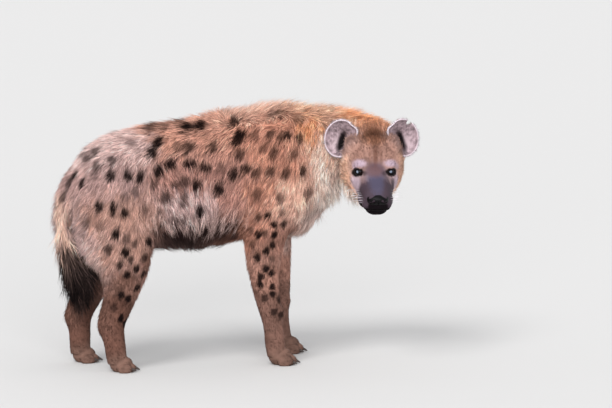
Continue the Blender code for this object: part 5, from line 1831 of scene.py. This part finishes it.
def finish_skin(skin, field, marks):
    """The skin's colours, the same as its coat's, with painted shade where the coat is long."""
    mesh = skin.data
    points, normals = points_of(mesh), normals_of(mesh)
    lies, sizes, colours = field.at(points)
    colours = coat_colours(points, colours, marks)
    coat_shade = 1 - UNDER_COAT_SHADE * smoothstep(*UNDER_COAT_LENGTHS, sizes[:, 0])
    colours = colours * coat_shade[:, None]
    ears = np.zeros(len(points), bool)
    for polygon in mesh.polygons:
        if polygon.material_index == 1:
            ears[list(polygon.vertices)] = True
    for side in (-1, 1):
        at, share, near = ear_place(points, side)
        mine = ears & near
        inner = normals[mine] @ np.array(ear_frame(side).to_3x3())[:, 2] > 0
        colours[mine] = ear_colours(at[mine], share[mine], inner)
    at, turn, over = mouth_place(points)
    lips = (1 - smoothstep(*LIPS_EDGE, np.abs(over))) * (turn < MOUTH_LINE[-1][0])
    colours = mixed(colours, "dark", lips * (at[:, 0] > LIPS_FROM_X))
    add_tint(mesh, colours)
    mesh.materials.clear()
    mesh.polygons.foreach_set("material_index", [0] * len(mesh.polygons))


# Eyes


# The eyeball: how far the cornea stands out, the edges of iris and pupil in degrees and
# how soft they are, and their colours as light. The iris has fine streaks: how strong,
# how many, and where they start; it is brighter outwards, from and by a share.
CORNEA_RAISED = 0.05
CORNEA_EDGE = 1.1
IRIS_EDGE = 42
PUPIL_EDGE = 15
IRIS_SOFT = (-3, 4)
PUPIL_SOFT = (-3, 1)
IRIS_STREAKS = ((0.18, 41, 0), (0.12, 67, 1))
IRIS_BRIGHT = (0.75, 0.5)
IRIS_LIGHT = (0.01, 0.005, 0.004)
WHITE_LIGHT = (0.006, 0.004, 0.004)
# The glint painted in each eye, a painted highlight: how far right and up in the view,
# of the eyeball's radius, its size in degrees over the eyeball, how much of it is even,
# and its colour as light.
GLINT_WAY = (-0.3, 0.27)
GLINT_SIZE = 22
GLINT_EVEN = 0.3
GLINT_LIGHT = (0.2, 0.235, 0.3)
EYE_SPECULAR_TINT = (0.72, 0.86, 1, 1)


def eyeball(side):
    """An eye with a raised cornea, a dark brown iris, a round pupil and a painted glint."""
    bpy.ops.mesh.primitive_uv_sphere_add(segments=64, ring_count=48, radius=1)
    eye = bpy.context.object
    eye.name = "eyeball_right" if side < 0 else "eyeball_left"
    at = moved(points_of(eye.data), Matrix.Rotation(math.pi / 2, 4, "Y"))
    off = np.degrees(np.arccos(np.clip(at[:, 0], -1, 1)))
    raised = 1 + CORNEA_RAISED * (1 - smoothstep(0, IRIS_EDGE * CORNEA_EDGE, off))
    turn = np.arctan2(at[:, 1], at[:, 2])
    streak = sum((much * np.sin(turn * many + start) for much, many, start in IRIS_STREAKS), 1)
    low, more = IRIS_BRIGHT
    bright = streak * (low + more * smoothstep(PUPIL_EDGE, IRIS_EDGE, off))
    iris = np.array(IRIS_LIGHT)[None] * bright[:, None]
    white = smoothstep(IRIS_EDGE + IRIS_SOFT[0], IRIS_EDGE + IRIS_SOFT[1], off)
    seen = smoothstep(PUPIL_EDGE + PUPIL_SOFT[0], PUPIL_EDGE + PUPIL_SOFT[1], off)
    colours = (iris + (np.array(WHITE_LIGHT) - iris) * white[:, None]) * seen[:, None]
    # a painted highlight, laid into the eye's colours up and to the left in the view
    way = VIEW_RIGHT * GLINT_WAY[0] + VIEW_UP * GLINT_WAY[1]
    way = Vector((1, 0, 0)) + eye_frame(side).to_3x3().inverted() @ way
    away = np.degrees(np.arccos(np.clip(at @ np.array(way.normalized()), -1, 1)))
    glint = 1 - smoothstep(GLINT_SIZE * GLINT_EVEN, GLINT_SIZE, away)
    colours += (np.array(GLINT_LIGHT) - colours) * glint[:, None]
    set_points(eye.data, moved(at * (EYE_RADIUS * raised)[:, None], eye_frame(side)))
    add_tint(eye.data, colours)
    return eye


# The rim of the lids: how many places round the opening and round the rim itself, how
# much it is drawn out towards the nose, flattened there and let down, how far out of the
# lids' thickness it lies, the least it stands out, its width, and its shade.
RIM_PLACES = 56
RIM_SIDES = 10
RIM_DRAWN_OUT = 0.004
RIM_FLATTENED = 0.25
RIM_LET_DOWN = 0.0015
RIM_OUT = 0.7
RIM_LEAST_X = 0.0085
RIM_WIDE = 1.3
RIM_SHADE = 0.6


def circle(count):
    """So many turns round a circle."""
    return np.linspace(0, 2 * math.pi, count + 1)[:-1]


def lid_rim(side):
    """The dark bare rim of the lids round one eye."""
    ball = EYE_RADIUS + LID_THICKNESS * RIM_OUT
    rows = []
    for turn in circle(RIM_PLACES):
        medial = max(0, -side * math.cos(turn))
        y = math.cos(turn) * (EYE_OPENING[0] + RIM_DRAWN_OUT * medial**6)
        z = math.sin(turn) * EYE_OPENING[1] * (1 - RIM_FLATTENED * medial**4)
        z = z - RIM_LET_DOWN * medial**6 + EYE_LIFT
        x = math.sqrt(max(ball**2 - y * y - z * z, 0))
        rows.append((max(x, RIM_LEAST_X), y, z))
    rows = np.array(rows)
    along = unit(np.roll(rows, -1, axis=0) - np.roll(rows, 1, axis=0))
    out = unit(rows)
    across = unit(np.cross(along, out))
    rings = []
    for turn in circle(RIM_SIDES):
        step = out * math.cos(turn) * LID_RIM + across * math.sin(turn) * LID_RIM * RIM_WIDE
        rings.append(rows + step)
    points = np.stack(rings, axis=1).reshape(-1, 3)
    name = "lid_rim_right" if side < 0 else "lid_rim_left"
    made = mesh_object(name, points, band_faces(RIM_PLACES, RIM_SIDES, closed=True))
    set_points(made.data, moved(points_of(made.data), eye_frame(side)))
    outward(made)
    add_tint(made.data, COLOUR["dark"] * RIM_SHADE)
    return made


# The nose


# In the head's frame: its middle and half-sizes, how square it is, and how much its
# front is raised in the middle, from where and how wide. The nostrils, on both sides, and
# the groove are cut from it, each a middle and radii. Round the nostrils it is darkened
# as painted shade, by so much, between two shares of their radii.
NOSE_AT = (0.269, 0, -0.003)
NOSE_SIZE = (0.0275, 0.0345, 0.0195)
NOSE_SQUARE = (1, 0.86, 0.8)
NOSE_RAISED = 0.004
NOSE_RAISED_FROM = (0.2, 1)
NOSE_RAISED_WIDE = 1.5
NOSTRILS = (
    ((0.296, 0.0135, 0.001), (0.014, 0.005, 0.0058)),
    ((0.289, 0.0225, -0.004), (0.014, 0.008, 0.0026)),
)
NOSE_GROOVE = ((0.296, 0, -0.012), (0.008, 0.0011, 0.014))
NOSTRIL_SHADE = 0.8
NOSTRIL_EDGE = (0.9, 1.4)


def nose_pad():
    """The bare nose, with its nostrils and the groove between them."""
    pad = blob("nose", (0, 0, 0), (1, 1, 1), segments=72)
    at = points_of(pad.data)
    at = np.sign(at) * np.abs(at) ** np.array(NOSE_SQUARE)
    at *= np.array(NOSE_SIZE)
    ahead = smoothstep(*NOSE_RAISED_FROM, at[:, 0] / NOSE_SIZE[0])
    at[:, 2] += NOSE_RAISED * ahead * np.cos(at[:, 1] / NOSE_SIZE[1] * NOSE_RAISED_WIDE)
    set_points(pad.data, moved(at + np.array(NOSE_AT), HEAD_FRAME))
    for (x, y, z), radii in NOSTRILS:
        for side in (1, -1):
            tool = blob("nostril", (x, side * y, z), radii, HEAD_FRAME)
            pad = boolean(pad, tool, "DIFFERENCE", "EXACT")
    tool = blob("groove", *NOSE_GROOVE, HEAD_FRAME, segments=20)
    pad = boolean(pad, tool, "DIFFERENCE", "EXACT")
    pad.name = "nose"
    at = in_head(points_of(pad.data))
    at[:, :2] = np.abs(at[:, :2])
    # painted shade in and round the nostrils
    deep = np.zeros(len(at))
    for centre, radii in NOSTRILS:
        far = (((at - centre) / radii) ** 2).sum(axis=1)
        deep = np.maximum(deep, 1 - smoothstep(*NOSTRIL_EDGE, far))
    add_tint(pad.data, COLOUR["nose"][None] * (1 - NOSTRIL_SHADE * deep)[:, None])
    return pad


# Claws


# How long, how thick at the root and the tip, how much narrower than high, how blunt,
# how high the root is and how far into the toe, the droop at the root and at the tip,
# and how many spans and sides they are drawn with.
CLAW_LENGTH = 0.022
CLAW_RADIUS = 0.0052
CLAW_TIP = 0.0006
CLAW_NARROW = 0.75
CLAW_BLUNT = 0.6
CLAW_HEIGHT = 0.0125
CLAW_IN_TOE = 0.62
CLAW_DROOP = (math.radians(8), math.radians(40))
CLAW_SPANS = 8
CLAW_SIDES = 10


def toe_places(stations, size, side, ahead):
    """Where the middles of a paw's toes are."""
    z, x, y = stations[-1][:3]
    foot = Vector((x + swing(z, ahead), -side * y, 0))
    return [
        foot + Vector((size["reach"] - behind, across * size["toe"][1], 0))
        for across, behind in TOES
    ]


def claw(start):
    """One claw, from the middle of its root."""
    rings = []
    for step in range(CLAW_SPANS + 1):
        share = step / CLAW_SPANS
        angle = CLAW_DROOP[0] + (CLAW_DROOP[1] - CLAW_DROOP[0]) * share
        way = Vector((math.cos(angle), 0, -math.sin(angle)))
        up = Vector((math.sin(angle), 0, math.cos(angle)))
        radius = CLAW_RADIUS * (1 - share) ** CLAW_BLUNT + CLAW_TIP
        ring = []
        for i in range(CLAW_SIDES):
            turn = 2 * math.pi * i / CLAW_SIDES
            spread = Vector((0, math.cos(turn) * radius * CLAW_NARROW, 0))
            ring.append(start + spread + up * math.sin(turn) * radius)
        rings.append(np.array(ring))
        start = start + way * (CLAW_LENGTH / CLAW_SPANS)
    return lofted("claw", rings)


def claws():
    """The blunt claws, four to a paw, in one piece."""
    made = []
    for side, *aheads in LEG_SIDES:
        for (stations, _, size, _), ahead in zip(LEGS, aheads):
            for toe in toe_places(stations, size, side, ahead):
                made.append(claw(toe + Vector((size["toe"][0] * CLAW_IN_TOE, 0, CLAW_HEIGHT))))
    piece = joined("claws", made)
    outward(piece)
    points = points_of(piece.data)
    points[:, 2] = np.maximum(points[:, 2], TUFT_OFF_FLOOR)
    set_points(piece.data, points)
    add_tint(piece.data, COLOUR["claw"])
    return piece


# Whiskers


# In the head's frame, on both lips: how many rows and how many in each, where the first
# one is and the steps to the next and to the next row, the way they point and how that
# changes, how much they differ, their lengths, how much the tips hang, how deep the
# roots are, their width, and the place on the unwrap that they share.
WHISKER_ROWS = 3
WHISKERS_IN_ROW = 4
WHISKER_AT = (0.255, 0.05, -0.022)
WHISKER_STEP = 0.014
WHISKER_ROW_STEP = 0.008
WHISKER_WAY = (-0.35, 0.9, -0.25)
WHISKER_BACK_STEP = 0.1
WHISKER_UP_STEP = 0.15
WHISKER_SPREAD = 0.07
WHISKER_LENGTHS = (0.035, 0.06)
WHISKER_HANG = 0.006
WHISKER_SUNK = 0.001
WHISKER_WIDTH = 0.0008
WHISKER_ON_UNWRAP = (0.5, 0.5)


def whiskers(surface):
    """Stiff whiskers on both lips, rooted in the skin."""
    dice = np.random.default_rng(SEED + 2)
    x, y, z = WHISKER_AT
    back, out, down = WHISKER_WAY
    lines = []
    for side in (-1, 1):
        for row in range(WHISKER_ROWS):
            for k in range(WHISKERS_IN_ROW):
                at = Vector((x - WHISKER_STEP * k, side * y, z + WHISKER_ROW_STEP * row))
                hit, normal = surface.find_nearest(HEAD_FRAME @ at)[:2]
                rise = down + WHISKER_UP_STEP * row
                way = Vector((back - WHISKER_BACK_STEP * k, side * out, rise))
                way = (HEAD_FRAME.to_3x3() @ way).normalized()
                way += Vector(dice.normal(0, WHISKER_SPREAD, 3))
                length = dice.uniform(*WHISKER_LENGTHS)
                root, bend = hit - normal * WHISKER_SUNK, hit + way * length * 0.5
                tip = hit + way * length - Vector((0, 0, WHISKER_HANG))
                lines.append((root, bend, tip, normal))
    count = len(lines)
    ends = (np.array(group) for group in zip(*lines))
    corners = tuft_points(*ends, np.full(count, WHISKER_WIDTH))
    tints = np.tile(COLOUR["ear_rim"], (count, 3, 1))
    return tuft_mesh("whiskers", corners, tints, np.tile(WHISKER_ON_UNWRAP, (count, 1)), LONG)


# Materials


# Roughness, how fine the grain is, how far the grain stands out in metres, and gloss.
MATERIALS = {
    "coat": (0.62, 900, 0, 0.05),
    "skin": (0.62, 700, 0.0004, 0.05),
    "eye": (0.15, 300, 0, 0.16),
    "bare_skin": (0.46, 1500, 0.0004, 0.14),
    "claw": (0.45, 500, 0.0002, 0.5),
}
# How much the grain changes the colour and the roughness, and its detail and strength.
GRAIN_IN_COLOUR = (0.78, 1.22)
GRAIN_IN_ROUGHNESS = 0.08
GRAIN_DETAIL = 4
GRAIN_STRENGTH = 0.6


def new_material(name):
    """A new material, its shader, and a function that adds a node with its inputs."""
    material = bpy.data.materials.new(name)
    material.use_nodes = True
    nodes, links = material.node_tree.nodes, material.node_tree.links

    def add(kind, **inputs):
        node = nodes.new(kind)
        for title, value in inputs.items():
            socket = node.inputs[title.replace("_", " ")]
            if isinstance(value, bpy.types.NodeSocket):
                links.new(value, socket)
            else:
                socket.default_value = value
        return node

    return material, nodes["Principled BSDF"], add


def tinted_material(name):
    """A material that takes its colour from the tint of the mesh, with a fine grain."""
    roughness, grain, bump, gloss = MATERIALS[name]
    material, shader, add = new_material(name)
    link = material.node_tree.links.new
    shader.inputs["Specular IOR Level"].default_value = gloss
    tint = add("ShaderNodeVertexColor")
    tint.layer_name = "tint"
    where = add("ShaderNodeTexCoord").outputs["Object"]
    noise = add("ShaderNodeTexNoise", Scale=grain, Detail=GRAIN_DETAIL, Vector=where)
    noise = noise.outputs["Fac"]
    low, high = GRAIN_IN_COLOUR
    spread = add("ShaderNodeMapRange", To_Min=low, To_Max=high, Value=noise)
    scale = add("ShaderNodeVectorMath")
    scale.operation = "SCALE"
    link(tint.outputs["Color"], scale.inputs[0])
    link(spread.outputs["Result"], scale.inputs["Scale"])
    link(scale.outputs["Vector"], shader.inputs["Base Color"])
    low, high = roughness - GRAIN_IN_ROUGHNESS, roughness + GRAIN_IN_ROUGHNESS
    rough = add("ShaderNodeMapRange", To_Min=low, To_Max=high, Value=noise)
    link(rough.outputs["Result"], shader.inputs["Roughness"])
    if bump:
        raised = add("ShaderNodeBump", Strength=GRAIN_STRENGTH, Distance=bump, Height=noise)
        link(raised.outputs["Normal"], shader.inputs["Normal"])
    return material


# The stage


# The floor: its size, colour, roughness, and the grain and depth of its variation. The
# sky, and the lights: name, strength, how soft, tilt from straight down, bearing.
FLOOR_SIZE = 80
FLOOR_COLOUR = (0.6, 0.59, 0.58)
FLOOR_ROUGHNESS = 0.9
FLOOR_GRAIN = 0.4
FLOOR_VARIATION = 0.02
SKY_COLOUR = (0.95, 0.97, 1)
SKY_STRENGTH = 0.8
SUNS = (
    ("key", 1.9, 24, 42, -42),
    ("front", 2.5, 40, 77, -12),
)


def floor_material():
    """A plain pale material with a faint variation."""
    material, shader, add = new_material("floor")
    link = material.node_tree.links.new
    shader.inputs["Roughness"].default_value = FLOOR_ROUGHNESS
    noise = add("ShaderNodeTexNoise", Scale=FLOOR_GRAIN)
    ramp = add("ShaderNodeValToRGB", Fac=noise.outputs["Fac"])
    low = [value * (1 - FLOOR_VARIATION) for value in FLOOR_COLOUR]
    for stop, colour in zip(ramp.color_ramp.elements, (low, FLOOR_COLOUR)):
        stop.color = (*colour, 1)
    link(ramp.outputs["Color"], shader.inputs["Base Color"])
    return material


def stage():
    """The floor, the soft light and the camera."""
    bpy.ops.mesh.primitive_plane_add(size=FLOOR_SIZE)
    floor = bpy.context.object
    floor.name = "floor"
    floor.data.materials.append(floor_material())
    scene = bpy.context.scene
    scene.view_settings.view_transform = "Standard"
    world = bpy.data.worlds.new("studio")
    world.use_nodes = True
    sky = world.node_tree.nodes["Background"]
    sky.inputs["Color"].default_value = (*SKY_COLOUR, 1)
    sky.inputs["Strength"].default_value = SKY_STRENGTH
    scene.world = world
    for name, energy, spread, tilt, bearing in SUNS:
        light = bpy.data.lights.new(name, "SUN")
        light.energy = energy
        light.angle = math.radians(spread)
        lamp = linked(name, light)
        lamp.rotation_euler = (math.radians(tilt), 0, math.radians(bearing))
    camera = linked("camera", bpy.data.cameras.new("camera"))
    camera.data.lens = VIEW_LENS
    camera.data.sensor_width = VIEW_SENSOR
    camera.data.clip_end = VIEW_CLIP
    camera.location = VIEW_AT + SHIFT + VIEW_BACK * VIEW_DISTANCE
    axes = Matrix((VIEW_RIGHT, VIEW_UP, VIEW_BACK))
    camera.rotation_euler = axes.transposed().to_euler()
    scene.camera = camera


# The whole model


def origin_shift():
    """From the body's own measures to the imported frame, told by where an eye is."""
    low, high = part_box("eye_right")
    return (low + high) / 2 - eye_frame(-1).translation


def main():
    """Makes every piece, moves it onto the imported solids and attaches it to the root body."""
    field = Field()
    skin = skin_form(field)
    surface = surface_of(skin)
    marks = placed_spots(surface), placed_marks(surface)
    looks = {name: tinted_material(name) for name in MATERIALS}
    shader = looks["eye"].node_tree.nodes["Principled BSDF"]
    shader.inputs["Specular Tint"].default_value = EYE_SPECULAR_TINT
    fur = coat(skin, field, marks)
    finish_skin(skin, field, marks)
    leather = [nose_pad()] + [lid_rim(side) for side in (-1, 1)]
    eyes = [eyeball(side) for side in (-1, 1)]
    nails = claws()
    hairs = whiskers(surface)
    made = (
        ("coat", fur),
        ("skin", [skin]),
        ("bare_skin", leather),
        ("eye", eyes),
        ("claw", [nails]),
        ("coat", [hairs]),
    )
    for name, pieces in made:
        for piece in pieces:
            piece.data.materials.append(looks[name])
            piece.data.transform(Matrix.Translation(SHIFT))
            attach(piece, "root")
    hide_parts("eye_right")
    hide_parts("eye_left")
    flesh = [name for name in frame["nodes"] if not name.startswith("eye")]
    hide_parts(*flesh)
    stage()


SHIFT = origin_shift()
main()
